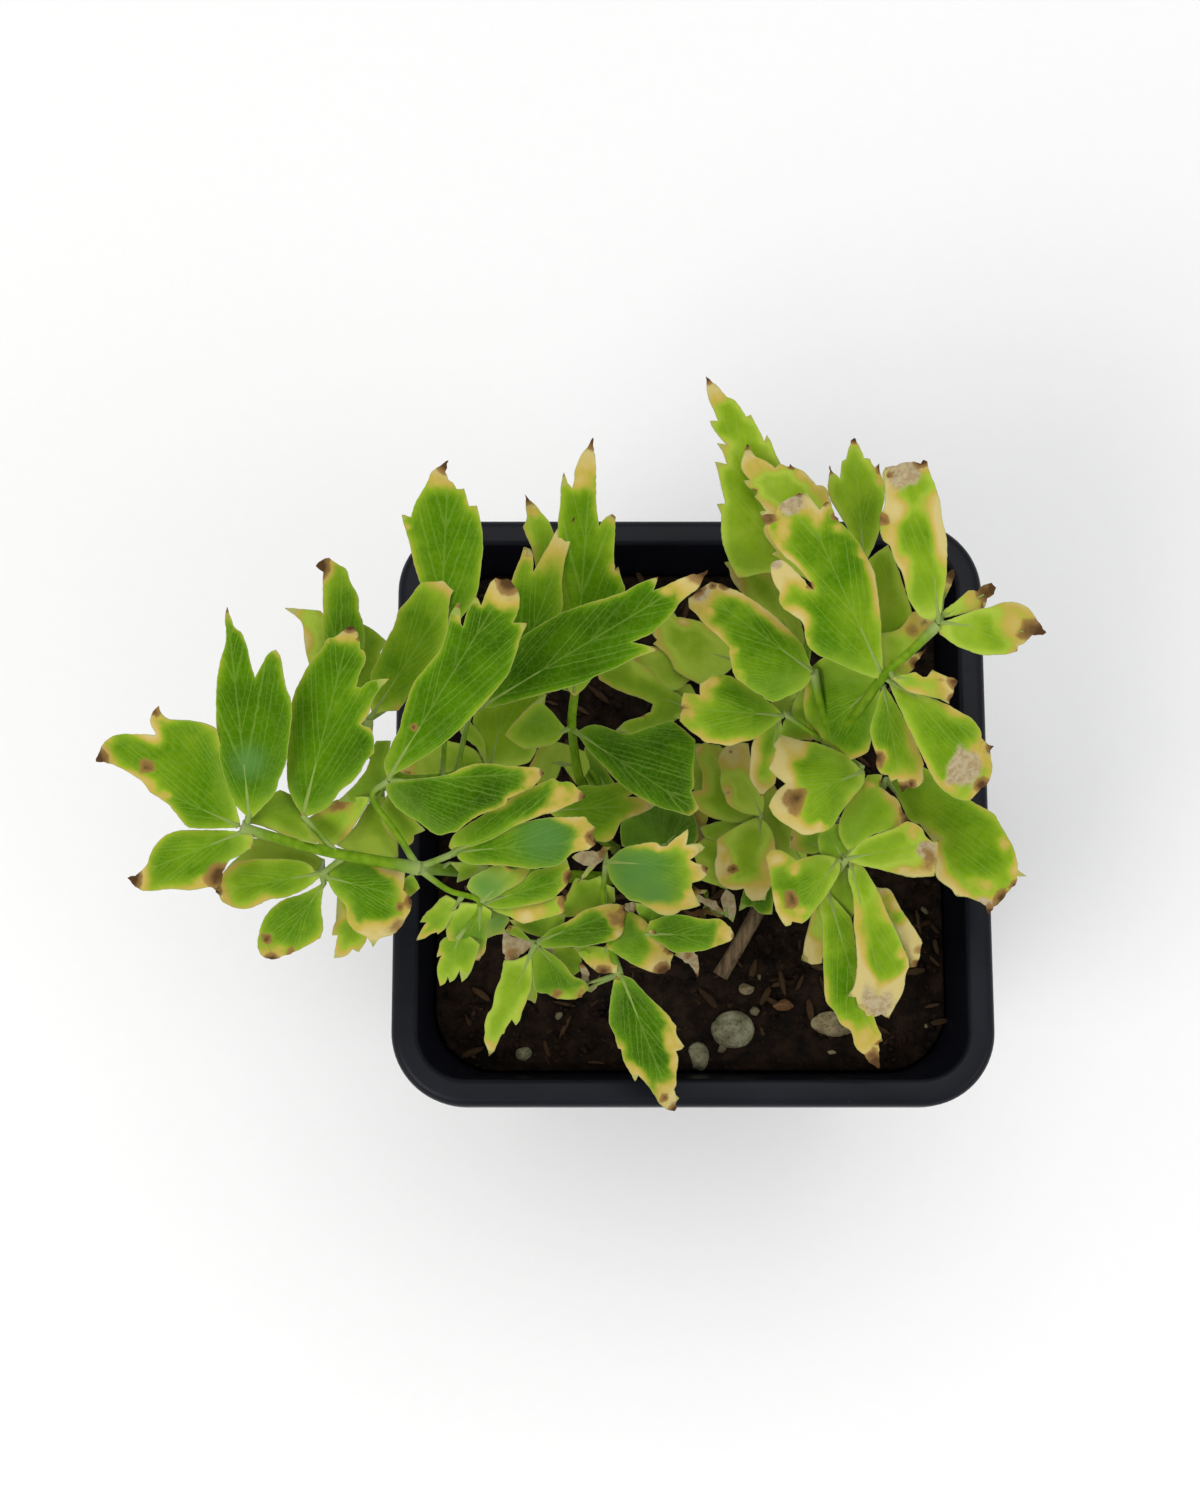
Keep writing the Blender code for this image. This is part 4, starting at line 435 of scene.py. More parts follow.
        ([(634, 830, -13), (604, 806, 4), (582, 785, 14),
          (572, 730, 29), (575, 690, 33), (578, 655, 35)], 1.8),
        ([(578, 665, 35), (555, 604, 37)], 0.8),
        ([(575, 690, 33), (545, 684, 36), (510, 685, 37)], 0.8),
        ([(608, 808, 2), (590, 770, 10), (560, 764, 12)], 0.8),
    ], leaves=[
        ((566, 730), (524, 749), (30, 32), 1, 2, (0.6, 0.3, 0, 0), [], [
         (543, 703), (546, 694), (526, 710), (505, 735), (524, 749), (540, 747), (555, 743)]),
        ((576, 732), (698, 812), (30, 30), 3, -3, (0.21, 0.4, 1, 0), [], [
         (595, 725), (628, 734), (646, 728), (672, 721), (695, 740), (693, 773), (694, 784), (691, 792),
         (694, 799), (699, 808), (690, 816), (673, 811), (656, 806), (637, 796), (617, 781), (605, 768),
         (590, 752)]),
        ((574, 697), (593, 436), (34, 46), 2, 2, (0.5, 0.3, 6.5, 2.4), [("gold", 583, 480, 14),
         ("gold", 612, 520, 6), ("gold", 564, 483, 5)], [
         (566, 684), (558, 600), (558, 522), (560, 506), (561, 484), (564, 473), (568, 483), (572, 488),
         (574, 481), (575, 470), (580, 457), (587, 447), (593, 436), (595, 456), (596, 466), (596, 488),
         (597, 511), (599, 527), (604, 519), (612, 514), (615, 517), (615, 534), (614, 559), (615, 570),
         (618, 567), (622, 580), (625, 589), (615, 630), (600, 660), (588, 684)]),
        ((556, 606), (525, 495), (37, 43), 1, 1, (0.71, 0.4, 3.5, 1.8), [("gold", 535, 512, 9)], [
         (540, 580), (531, 546), (527, 537), (523, 527), (525, 523), (527, 516), (525, 501), (525, 495),
         (535, 504), (541, 512), (548, 520), (554, 534), (565, 570)]),
        ((512, 686), (575, 517), (37, 43), 2, 2, (0.45, 0.5, 9, 1.8), [("gold", 560, 545, 20),
         ("gold", 527, 554, 6)], [
         (500, 640), (505, 600), (512, 579), (521, 556), (524, 547), (531, 550), (533, 556), (533, 572),
         (540, 560), (548, 546), (559, 527), (575, 517), (572, 531), (570, 544), (565, 561), (562, 581),
         (562, 609), (540, 655)]),
        ((606, 792), (588, 742), (6, 10), 0, 0, (0.49, 0.6, 1, 0), [], [
         (590, 787), (584, 775), (582, 758), (588, 742), (594, 750), (606, 770), (618, 788)]),
        ((562, 764), (531, 760), (12, 13), 0, 0, (0.97, 0.8, 1.5, 0.5), [], [
         (553, 786), (538, 785), (527, 772), (533, 760), (540, 746), (556, 742), (585, 752), (590, 768),
         (578, 786)]),
    ]),
    "frondSouth": dict(node="frond_south", slot="leaf_green", stems=[
        ([(648, 903, -13), (628, 908, 8), (606, 918, 22), (610, 942, 27), (619, 974, 23)], 1.6),
        ([(606, 918, 22), (603, 894, 30), (606, 864, 36)], 1),
        ([(606, 918, 22), (575, 932, 25), (536, 943, 27)], 1),
        ([(610, 938, 26), (650, 934, 28)], 0.9),
    ], leaves=[
        ((606, 862), (708, 868), (36, 40), 1, 3, (0.52, 1.2, 4, 1.4), [("bloom", 640, 872, 30),
         ("bloom", 655, 893, 22), ("bloom", 622, 862, 18), ("gold", 690, 900, 20), ("gold", 696, 868, 16),
         ("gold", 696, 849, 12), ("gold", 679, 836, 11), ("straw", 658, 847, 9), ("tan", 701, 857, 7)], [
         (615, 855), (620, 850), (630, 846), (640, 844), (651, 842), (657, 843), (661, 846), (667, 846),
         (673, 840), (688, 829), (688, 837), (686, 845), (692, 844), (700, 844), (705, 847), (700, 852),
         (694, 857), (690, 860), (696, 863), (704, 865), (708, 868), (707, 875), (701, 880), (692, 883),
         (692, 888), (696, 897), (700, 905), (696, 907), (686, 909), (681, 910), (675, 914), (665, 915),
         (656, 912), (646, 906), (639, 902), (629, 900), (624, 895), (617, 888), (610, 878)]),
        ((606, 947), (664, 973), (27, 26), 2, -1, (0.49, 1, 4, 1.6), [("gold", 640, 925, 12),
         ("gold", 655, 940, 15), ("gold", 663, 957, 14), ("brown", 658, 935, 6), ("brown", 668, 952, 6),
         ("brown", 663, 968, 7), ("straw", 668, 962, 8)], [
         (613, 925), (625, 911), (633, 913), (643, 919), (651, 928), (659, 934), (663, 944), (667, 948),
         (673, 954), (671, 960), (669, 969), (664, 973), (659, 975), (651, 972), (638, 967), (624, 959),
         (616, 954)]),
        ((606, 947), (603, 976), (26, 24), 0, 0, (0.62, 1, 3, 1), [("gold", 595, 962, 13),
         ("brown", 605, 971, 7), ("gold", 608, 966, 8)], [
         (574, 947), (584, 960), (593, 969), (601, 974), (605, 975), (611, 973), (617, 973), (617, 960),
         (613, 955)]),
        ((645, 934), (734, 936), (28, 26), 1, 1, (0.4, 0.5, 3, 0.6), [("gold", 722, 932, 14),
         ("gold", 715, 945, 9), ("pale", 733, 936, 4)], [
         (650, 921), (659, 918), (670, 915), (682, 915), (705, 919), (719, 919), (725, 923), (732, 930),
         (734, 936), (730, 941), (719, 945), (705, 950), (692, 952), (678, 953), (673, 952), (663, 945)]),
        ((621, 975), (675, 1111), (24, 8), 2, 1, (0.21, 0.8, 5.5, 1.6), [("gold", 668, 1040, 14),
         ("gold", 672, 1065, 12), ("gold", 665, 1090, 16), ("gold", 632, 1066, 8),
         ("brown", 664, 1098, 6), ("pale", 672, 1104, 6), ("gold", 682, 1047, 5)], [
         (616, 976), (614, 980), (612, 990), (610, 1003), (609, 1015), (609, 1023), (611, 1028),
         (615, 1035), (616, 1041), (618, 1048), (621, 1049), (623, 1058), (625, 1064), (630, 1072),
         (635, 1081), (638, 1075), (644, 1081), (649, 1087), (655, 1096), (660, 1104), (666, 1109),
         (675, 1111), (677, 1108), (675, 1104), (679, 1098), (676, 1095), (674, 1089), (676, 1085),
         (676, 1075), (678, 1060), (676, 1051), (681, 1049), (684, 1046), (680, 1040), (676, 1034),
         (676, 1026), (672, 1021), (668, 1015), (661, 1008), (650, 998), (640, 987), (631, 978)]),
        ((537, 942), (625, 909), (27, 26), 2, 2, (0.37, 0.9, 2, 1), [("tan", 613, 918, 12),
         ("rust", 622, 922, 8), ("straw", 618, 934, 10), ("gold", 608, 908, 8)], [
         (550, 930), (570, 920), (583, 911), (594, 907), (606, 904), (616, 904), (624, 906), (625, 913),
         (625, 922), (623, 932), (620, 937), (611, 941), (597, 944), (583, 947), (570, 947), (543, 948)]),
        ((531, 941), (509, 926), (26, 25), 0, 0, (0.47, 0.3, 1, 0.4), [("tan", 511, 927, 4)], [
         (519, 938), (509, 934), (506, 930), (509, 926), (517, 927), (524, 933)]),
        ((531, 953), (489, 1056), (26, 12), 2, 1, (0.82, 0.5, 2.5, 0.5), [("straw", 488, 1046, 8)], [
         (515, 960), (504, 960), (502, 971), (500, 980), (495, 992), (492, 1008), (488, 1013),
         (485, 1022), (485, 1032), (484, 1040), (487, 1047), (489, 1056), (494, 1051), (498, 1042),
         (502, 1034), (504, 1033), (507, 1026), (512, 1019), (516, 1025), (520, 1020), (522, 1012),
         (525, 1005), (527, 999), (532, 985), (532, 968)]),
        ((536, 944), (582, 998), (26, 18), 1, 1, (0.45, 0.5, 1.5, 0.8), [("rust", 558, 992, 8),
         ("tan", 579, 991, 9), ("pale", 567, 998, 8)], [
         (531, 959), (533, 982), (535, 990), (539, 993), (547, 993), (554, 998), (560, 999), (575, 999),
         (582, 998), (585, 992), (589, 988), (583, 980), (573, 976), (566, 966), (555, 956)]),
        ((539, 946), (582, 969), (25, 20), 0, 1, (0.65, 0.2, 0, 0), [("paper", 548, 953, 6)], [
         (575, 948), (581, 957), (582, 969), (573, 976), (560, 967), (546, 954)]),
        ((535, 944), (512, 967), (25.5, 23), 0, -1, (0.97, 1, 1, 1), [("paper", 513, 948, 20),
         ("tan", 512, 955, 12)], [
         (531, 941), (519, 938), (509, 934), (504, 928), (503, 942), (505, 959), (512, 967), (516, 960),
         (523, 953)]),
        ((533, 965), (535, 1003), (22, 13), 0, 0, (0.74, 0.5, 1, 0), [], [
         (531, 985), (527, 999), (531, 1000), (535, 1003), (537, 996), (537, 985)]),
        ((607, 852), (577, 884), (35, 30), 0, 1, (0.97, 0.5, 1, 1), [("rust", 603, 851, 7),
         ("paper", 588, 857, 12), ("paper", 580, 878, 8), ("straw", 575, 856, 7)], [
         (611, 847), (603, 847), (596, 852), (582, 850), (572, 857), (577, 862), (588, 866), (584, 873),
         (577, 884), (584, 879), (590, 872), (596, 866), (603, 860)]),
        ((606, 884), (556, 913), (25, 21), 0, 0, (0.72, 0.5, 1, 0), [], [
         (600, 876), (588, 880), (576, 878), (570, 890), (562, 902), (552, 912), (566, 917), (583, 914),
         (602, 910), (615, 902), (614, 888)]),
        ((545, 938), (509, 920), (24, 22), 0, 0, (0.48, 0.5, 1, 0), [], [
         (530, 934), (516, 927), (509, 920), (524, 919), (540, 918), (566, 914), (562, 926), (552, 938)]),
        ((650, 930), (636, 903), (26, 27), 0, 0, (0.52, 0.3, 0, 0), [], [
         (642, 920), (637, 911), (636, 903), (648, 906), (669, 913), (660, 922)]),
        ((624, 907), (639, 910), (26, 25), 0, 0, (0.97, 0.5, 1, 1), [("paper", 632, 907, 10)], [
         (625, 903), (632, 901), (638, 905), (639, 910), (633, 913), (627, 912)]),
        ((583, 985), (581, 961), (17, 22), 0, 0, (0.97, 1, 1, 1), [("paper", 584, 970, 12),
         ("straw", 584, 980, 8)], [
         (581, 975), (579, 965), (581, 961), (585, 966), (589, 974), (589, 984), (586, 990)]),
        ((585, 990), (600, 972), (15, 16), 0, 0, (0.53, 1, 1, 1), [("paper", 596, 980, 9),
         ("straw", 594, 986, 6)], [
         (590, 986), (596, 981), (600, 972), (600, 980), (597, 987), (591, 992)]),
    ]),
    "frondEast": dict(node="frond_east", slot="leaf_green", stems=[
        ([(790, 838, -13), (812, 798, 8), (833, 748, 30), (822, 710, 37), (813, 672, 43)], 1.8),
        ([(833, 748, 30), (858, 712, 42), (883, 677, 50), (910, 652, 53), (938, 625, 55)], 1.7),
        ([(833, 748, 30), (808, 730, 33), (783, 713, 34)], 0.9),
        ([(833, 748, 30), (863, 768, 33)], 0.9),
    ], leaves=[
        ((883, 678), (799, 494), (50, 54), 3, -2, (0.53, 1.6, 4, 0.8), [("gold", 785, 530, 22),
         ("gold", 775, 548, 14), ("gold", 812, 515, 14), ("gold", 838, 530, 10), ("gold", 860, 555, 9),
         ("gold", 776, 585, 9), ("gold", 806, 640, 9), ("gold", 790, 610, 8), ("brown", 771, 520, 9),
         ("paper", 792, 507, 11), ("brown", 826, 503, 5), ("brown", 837, 518, 7), ("rust", 811, 586, 6),
         ("paper", 776, 562, 6)], [
         (874, 678), (855, 671), (839, 664), (823, 657), (817, 654), (809, 647), (805, 637), (804, 626),
         (800, 620), (790, 613), (782, 607), (779, 600), (780, 593), (775, 585), (771, 574), (771, 565),
         (775, 560), (782, 560), (790, 566), (814, 591), (808, 580), (796, 566), (784, 556), (772, 540),
         (766, 526), (761, 516), (766, 514), (776, 514), (780, 504), (784, 501), (799, 494), (807, 494),
         (810, 498), (820, 510), (826, 501), (829, 503), (834, 512), (840, 522), (849, 531), (859, 544),
         (867, 558), (874, 572), (877, 590), (879, 607), (881, 625), (881, 637)]),
        ((884, 674), (888, 545), (46, 47), 1, 1, (0.81, 0.3, 1, 0), [], [
         (868, 620), (868, 560), (888, 545), (905, 590), (912, 620), (900, 655)]),
        ((881, 682), (812, 738), (49, 30), 1, 0, (0.52, 0.7, 2, 0), [], [
         (870, 672), (850, 666), (828, 655), (812, 668), (804, 704), (812, 738), (832, 746), (850, 760),
         (868, 752), (876, 715)]),
        ((883, 684), (902, 792), (48, 41), 1, 1, (0.56, 1, 4, 2), [("gold", 884, 755, 14),
         ("brown", 879, 758, 9), ("brown", 911, 783, 7), ("gold", 900, 778, 10)], [
         (874, 714), (870, 729), (872, 741), (876, 756), (877, 768), (883, 775), (888, 775), (891, 782),
         (897, 779), (902, 792), (906, 788), (916, 788), (924, 781), (923, 768), (924, 764), (905, 720)]),
        ((888, 680), (993, 746), (50, 46), 2, -2, (0.64, 0.8, 3, 1.2), [("paper", 960, 768, 15),
         ("brown", 981, 783, 8), ("gold", 975, 757, 17), ("gold", 950, 785, 14),
         ("brown", 990, 748, 5)], [
         (906, 691), (923, 695), (939, 701), (950, 706), (962, 713), (971, 718), (977, 725), (981, 732),
         (981, 738), (986, 742), (993, 746), (991, 751), (991, 759), (992, 768), (989, 780), (985, 786),
         (976, 794), (970, 800), (961, 800), (950, 795), (939, 786), (932, 776), (926, 764), (905, 720)]),
        ((892, 678), (958, 681), (52, 50), 1, 1, (0.66, 2.5, 5, 1.2), [("tan", 937, 680, 8),
         ("brown", 953, 683, 7), ("brown", 950, 698, 5)], [
         (899, 676), (907, 674), (916, 672), (923, 677), (927, 677), (933, 670), (938, 673), (948, 677),
         (954, 678), (958, 681), (955, 688), (952, 696), (949, 704), (940, 699), (927, 696), (912, 693),
         (903, 688)]),
        ((938, 620), (923, 459), (55, 60), 2, 2, (0.7, 2, 3, 1.4), [("gold", 895, 490, 18),
         ("gold", 892, 530, 13), ("gold", 905, 560, 10), ("gold", 938, 510, 8), ("brown", 884, 521, 8),
         ("paper", 905, 475, 14), ("brown", 921, 466, 6), ("brown", 889, 475, 4)], [
         (941, 613), (943, 596), (946, 581), (947, 562), (947, 542), (945, 531), (942, 518), (940, 501),
         (935, 485), (930, 473), (927, 462), (923, 459), (920, 463), (913, 462), (904, 463), (893, 466),
         (885, 468), (883, 474), (885, 487), (885, 499), (884, 509), (880, 515), (880, 529), (883, 540),
         (890, 546), (894, 559), (902, 573), (905, 585), (908, 598), (915, 610), (923, 618)]),
        ((939, 623), (1047, 634), (55, 52), 2, -1, (0.83, 0.8, 4, 2.6), [("gold", 1012, 625, 17),
         ("brown", 1027, 628, 10), ("paper", 1042, 632, 9)], [
         (948, 620), (976, 610), (990, 607), (1001, 603), (1012, 602), (1021, 604), (1030, 610),
         (1037, 620), (1041, 626), (1047, 634), (1035, 635), (1029, 638), (1023, 644), (1018, 646),
         (1017, 651), (1008, 654), (993, 655), (982, 655), (969, 651), (957, 646), (948, 640),
         (940, 634)]),
        ((940, 618), (996, 588), (54, 53), 1, 1, (0.95, 1.2, 3, 1.6), [("brown", 985, 592, 10),
         ("gold", 970, 600, 12)], [
         (943, 611), (954, 603), (963, 595), (968, 591), (977, 591), (983, 585), (991, 583), (996, 588),
         (994, 595), (990, 598), (987, 599), (985, 606), (982, 610), (975, 611)]),
        ((814, 673), (697, 589), (43, 39), 3, -2, (0.49, 1.4, 4, 1.6), [("gold", 725, 592, 16),
         ("gold", 745, 600, 10), ("gold", 775, 620, 9), ("gold", 736, 650, 8), ("gold", 742, 675, 8),
         ("brown", 724, 585, 7), ("brown", 713, 586, 5), ("paper", 702, 594, 8),
         ("gold", 710, 610, 10)], [
         (810, 664), (803, 647), (790, 631), (772, 614), (757, 603), (743, 594), (737, 591), (725, 586),
         (722, 584), (711, 582), (709, 584), (697, 589), (692, 596), (689, 598), (689, 608), (696, 614),
         (703, 623), (710, 629), (719, 637), (730, 648), (729, 652), (731, 661), (733, 672), (736, 678),
         (743, 683), (752, 690), (762, 696), (769, 701), (777, 701), (790, 695), (801, 690), (809, 682)]),
        ((785, 716), (681, 708), (34, 35), 2, -1, (0.58, 1.1, 3, 0.9), [("gold", 715, 683, 11),
         ("tan", 688, 706, 7), ("gold", 692, 712, 11), ("gold", 735, 741, 8)], [
         (766, 700), (734, 678), (719, 674), (713, 675), (707, 680), (700, 684), (700, 695), (684, 693),
         (682, 699), (681, 708), (680, 721), (689, 730), (698, 736), (705, 742), (718, 744), (729, 746),
         (738, 743), (754, 739), (766, 731)]),
        ((780, 716), (761, 796), (33, 19), 1, 1, (0.63, 1.4, 3, 0.6), [("gold", 756, 780, 9)], [
         (754, 740), (751, 755), (750, 779), (757, 789), (761, 796), (769, 788), (775, 783), (782, 735)]),
        ((790, 714), (812, 738), (32, 29), 0, 0, (0.57, 0.6, 1, 0), [], [
         (800, 692), (812, 680), (815, 720), (812, 740), (780, 738), (784, 722)]),
        ((864, 771), (782, 804), (33, 36), 2, -2, (0.66, 1.8, 3.5, 0), [("gold", 790, 760, 10),
         ("straw", 785, 790, 12), ("gold", 800, 825, 10), ("brown", 797, 800, 12), ("gold", 782, 806, 12),
         ("gold", 785, 742, 7), ("straw", 820, 825, 9)], [
         (858, 767), (849, 758), (839, 752), (827, 747), (816, 743), (802, 741), (791, 738), (780, 735),
         (777, 741), (773, 745), (776, 750), (774, 759), (769, 769), (776, 776), (786, 784), (779, 790),
         (773, 797), (769, 806), (774, 815), (780, 821), (790, 827), (798, 832), (805, 835), (816, 833),
         (827, 830), (834, 824), (839, 815), (846, 805), (857, 792), (864, 783)]),
        ((790, 712), (772, 700), (31, 29), 0, 0, (0.76, 0.6, 1, 0), [], [
         (780, 716), (770, 708), (772, 697), (785, 690), (800, 692), (798, 706)]),
        ((884, 674), (926, 621), (48, 49), 0, 1, (0.85, 0.9, 3, 0.5), [("tan", 912, 630, 12)], [
         (881, 634), (900, 628), (912, 612), (934, 612), (932, 630), (905, 662)]),
        ((886, 674), (926, 650), (49, 50), 0, 0, (0.96, 2, 3, 1.6), [("brown", 915, 664, 7),
         ("gold", 910, 668, 8)], [
         (905, 660), (926, 648), (922, 656), (917, 662), (914, 668), (905, 677)]),
        ((943, 600), (955, 568), (52, 51), 0, 1, (0.8, 1.5, 3, 2.4), [("brown", 954, 574, 9)], [
         (944, 585), (947, 572), (955, 568), (954, 578), (950, 588)]),
    ]),
    "frondNortheast": dict(node="frond_northeast", slot="leaf_dark", stems=[
        ([(768, 852, -13), (788, 790, 6), (798, 720, 18), (806, 660, 29), (812, 615, 35)], 1.6),
        ([(812, 615, 35), (800, 592, 37), (786, 572, 38)], 0.9),
        ([(812, 615, 35), (838, 592, 37), (864, 568, 38)], 0.9),
    ], leaves=[
        ((787, 575), (706, 377), (38, 43), 2, 1, (0.77, 0.4, 4, 1.4), [("gold", 717, 398, 8),
         ("gold", 717, 508, 5), ("gold", 767, 440, 5), ("gold", 750, 420, 5)], [
         (772, 572), (738, 578), (724, 548), (721, 530), (721, 515), (717, 504), (725, 504), (724, 498),
         (720, 482), (718, 472), (715, 462), (727, 464), (726, 461), (722, 451), (717, 443), (727, 445),
         (723, 441), (719, 436), (713, 428), (710, 421), (718, 421), (714, 411), (709, 399), (706, 387),
         (706, 377), (713, 382), (720, 389), (727, 397), (733, 399), (740, 407), (746, 417), (751, 415),
         (754, 421), (759, 430), (764, 441), (767, 435), (772, 444), (776, 455), (780, 463), (785, 500),
         (792, 545)]),
        ((835, 596), (747, 444), (37, 46), 2, 0, (0.92, 1.4, 4, 1.2), [("brown", 754, 492, 5),
         ("brown", 791, 466, 5), ("gold", 755, 470, 12), ("gold", 800, 478, 10), ("gold", 765, 520, 8)], [
         (800, 575), (777, 557), (772, 554), (777, 551), (766, 537), (763, 529), (766, 523), (760, 512),
         (766, 511), (761, 504), (755, 497), (757, 490), (753, 491), (747, 486), (744, 481), (750, 480),
         (743, 472), (741, 464), (743, 456), (747, 444), (752, 452), (756, 457), (764, 460), (770, 464),
         (775, 468), (780, 464), (789, 467), (790, 464), (795, 468), (803, 471), (810, 478), (816, 485),
         (821, 485), (826, 488), (829, 497), (838, 530), (842, 560)]),
        ((864, 568), (854, 437), (38, 41), 1, 1, (0.73, 0.5, 2, 1.2), [("brown", 831, 470, 5),
         ("brown", 880, 468, 5), ("gold", 878, 482, 7)], [
         (849, 531), (833, 504), (828, 490), (829, 478), (830, 465), (834, 472), (840, 479), (841, 467),
         (842, 461), (846, 459), (848, 450), (851, 441), (854, 437), (857, 442), (861, 450), (864, 458),
         (870, 459), (872, 464), (875, 468), (879, 464), (880, 472), (884, 482), (885, 495), (882, 511),
         (880, 529), (875, 544), (868, 558)]),
        ((806, 660), (728, 532), (29, 36), 1, 1, (0.95, 1.2, 3, 2.2), [("brown", 738, 545, 7),
         ("gold", 745, 560, 14), ("gold", 728, 565, 6)], [
         (770, 630), (745, 596), (737, 587), (731, 578), (729, 569), (724, 562), (732, 562), (730, 552),
         (731, 546), (728, 532), (742, 544), (747, 551), (751, 543), (757, 552), (763, 562), (770, 570),
         (780, 585), (800, 620)]),
    ]),
    "frondSoutheast": dict(node="frond_southeast", slot="leaf_yellow", stems=[
        ([(780, 882, -13), (815, 872, 10), (847, 858, 27)], 1.4),
        ([(847, 858, 27), (838, 872, 26), (826, 888, 24)], 0.9),
        ([(810, 873, 8), (818, 895, 12)], 0.8),
    ], leaves=[
        ((845, 859), (938, 842), (27, 30), 1, 2, (0.84, 1, 2, 0), [("tan", 927, 858, 15),
         ("gold", 912, 835, 12), ("paper", 926, 850, 9), ("straw", 905, 870, 10)], [
         (863, 840), (877, 834), (892, 829), (907, 821), (913, 823), (922, 828), (926, 837), (933, 842),
         (938, 842), (937, 859), (934, 876), (922, 877), (910, 877), (898, 874), (886, 871), (874, 868),
         (858, 865)]),
        ((849, 852), (908, 820), (27, 28), 2, 0.2, (0.62, 1.4, 3, 1.4), [("brown", 881, 784, 6),
         ("brown", 904, 815, 8), ("gold", 895, 805, 15), ("gold", 870, 785, 10)], [
         (839, 832), (846, 805), (857, 792), (863, 783), (867, 775), (882, 775), (880, 786), (890, 795),
         (897, 799), (902, 809), (908, 820), (893, 829), (870, 836)]),
        ((839, 859), (784, 926), (27, 25), 2, -1, (0.62, 1.8, 3, 0), [("gold", 795, 872, 11),
         ("brown", 792, 897, 10), ("straw", 778, 860, 13), ("straw", 775, 900, 14),
         ("gold", 800, 912, 12), ("straw", 786, 918, 9)], [
         (822, 855), (808, 857), (796, 861), (789, 855), (780, 850), (771, 850), (766, 857), (770, 872),
         (772, 890), (775, 907), (781, 920), (786, 926), (791, 925), (792, 921), (802, 923), (808, 919),
         (815, 910), (825, 897), (834, 883), (840, 870)]),
        ((850, 860), (889, 1018), (26, 12), 3, 1, (0.65, 2.2, 6, 0.6), [("paper", 876, 1003, 13),
         ("gold", 893, 985, 14), ("gold", 900, 955, 10), ("gold", 860, 985, 10),
         ("straw", 853, 992, 8)], [
         (848, 877), (852, 891), (854, 910), (854, 927), (856, 944), (857, 966), (854, 986), (848, 996),
         (856, 997), (858, 1007), (864, 1011), (866, 1016), (875, 1016), (881, 1014), (889, 1018),
         (892, 1011), (899, 999), (904, 987), (906, 973), (909, 967), (908, 959), (902, 944), (894, 927),
         (886, 910), (879, 893), (871, 879), (862, 866)]),
        ((827, 889), (879, 1069), (23, 7), 2, 1, (0.55, 0.7, 7, 3), [("gold", 850, 1025, 16),
         ("gold", 865, 1035, 14), ("brown", 872, 1055, 9), ("brown", 880, 1042, 5)], [
         (819, 906), (822, 921), (823, 959), (824, 984), (826, 1001), (834, 1011), (841, 1024),
         (851, 1031), (854, 1043), (857, 1049), (864, 1055), (869, 1063), (879, 1069), (879, 1053),
         (879, 1043), (882, 1041), (881, 1034), (876, 1024), (874, 1016), (862, 1000), (856, 950),
         (851, 919), (842, 907), (832, 896)]),
        ((852, 862), (916, 967), (24, 16), 1, 0, (0.71, 3, 6, 1), [("tan", 917, 950, 9),
         ("brown", 916, 962, 5), ("straw", 895, 905, 14)], [
         (876, 887), (886, 888), (891, 891), (899, 906), (909, 921), (919, 936), (922, 943), (920, 949),
         (919, 959), (916, 967), (909, 967), (905, 950), (895, 925), (880, 900)]),
        ((817, 895), (802, 960), (12, 6), 1, 0, (0.89, 3, 5, 0.4), [("straw", 812, 945, 12)], [
         (811, 917), (806, 936), (802, 960), (812, 964), (822, 963), (824, 930)]),
        ((845, 864), (842, 920), (25, 20), 0, 0, (0.65, 0.2, 0, 0), [], [
         (834, 872), (829, 886), (832, 898), (838, 912), (842, 920), (852, 918), (858, 898), (856, 880)]),
        ((843, 858), (824, 826), (26, 27), 0, 0, (0.62, 0.3, 0, 0), [], [
         (832, 860), (820, 854), (818, 838), (824, 826), (840, 824), (850, 842), (852, 852)]),
        ((806, 872), (766, 786), (3, 5), 0, 0, (0.84, 0.6, 1, 0), [], [
         (790, 862), (772, 845), (764, 828), (762, 806), (766, 786), (774, 784), (784, 804), (794, 830),
         (806, 850)]),
    ]),
    "frondFarEast": dict(node="frond_far_east", slot="leaf_green", stems=[
        ([(808, 858, -13), (860, 818, 8), (887, 780, 19)], 1.4),
        ([(825, 845, -6), (828, 848, 10)], 0.8),
    ], leaves=[
        ((887, 780), (988, 915), (19, 24), 2, 1, (0.61, 1.2, 4, 1.8), [("gold", 1003, 845, 12),
         ("gold", 1013, 872, 10), ("gold", 955, 885, 16), ("gold", 940, 860, 9), ("brown", 1000, 897, 10),
         ("paper", 985, 905, 9), ("brown", 1014, 885, 6), ("gold", 985, 885, 16)], [
         (900, 762), (925, 768), (950, 785), (970, 800), (980, 806), (994, 814), (1001, 826), (1007, 836),
         (1013, 847), (1017, 861), (1018, 870), (1026, 876), (1017, 876), (1017, 882), (1009, 891),
         (1000, 901), (994, 907), (988, 915), (985, 907), (976, 901), (968, 897), (957, 896), (950, 888),
         (941, 882), (935, 873), (936, 855), (938, 841), (942, 839), (930, 833), (926, 827), (915, 823),
         (909, 820), (901, 804), (895, 794)]),
        ((826, 848), (790, 838), (10, 14), 0, 1, (0.69, 0.7, 2, 0.5), [], [
         (812, 854), (790, 848), (792, 830), (815, 830), (835, 834)]),
    ]),
    "frondLowMiddle": dict(node="frond_low_middle", slot="leaf_green", stems=[
        ([(744, 866, -13), (762, 842, -1), (760, 820, 9)], 1.2),
    ], leaves=[
        ((760, 817), (759, 901), (10, 7), 1, 1, (0.84, 1.6, 4, 0), [("straw", 728, 868, 14),
         ("gold", 755, 893, 12), ("brown", 734, 869, 6), ("straw", 722, 850, 9)], [
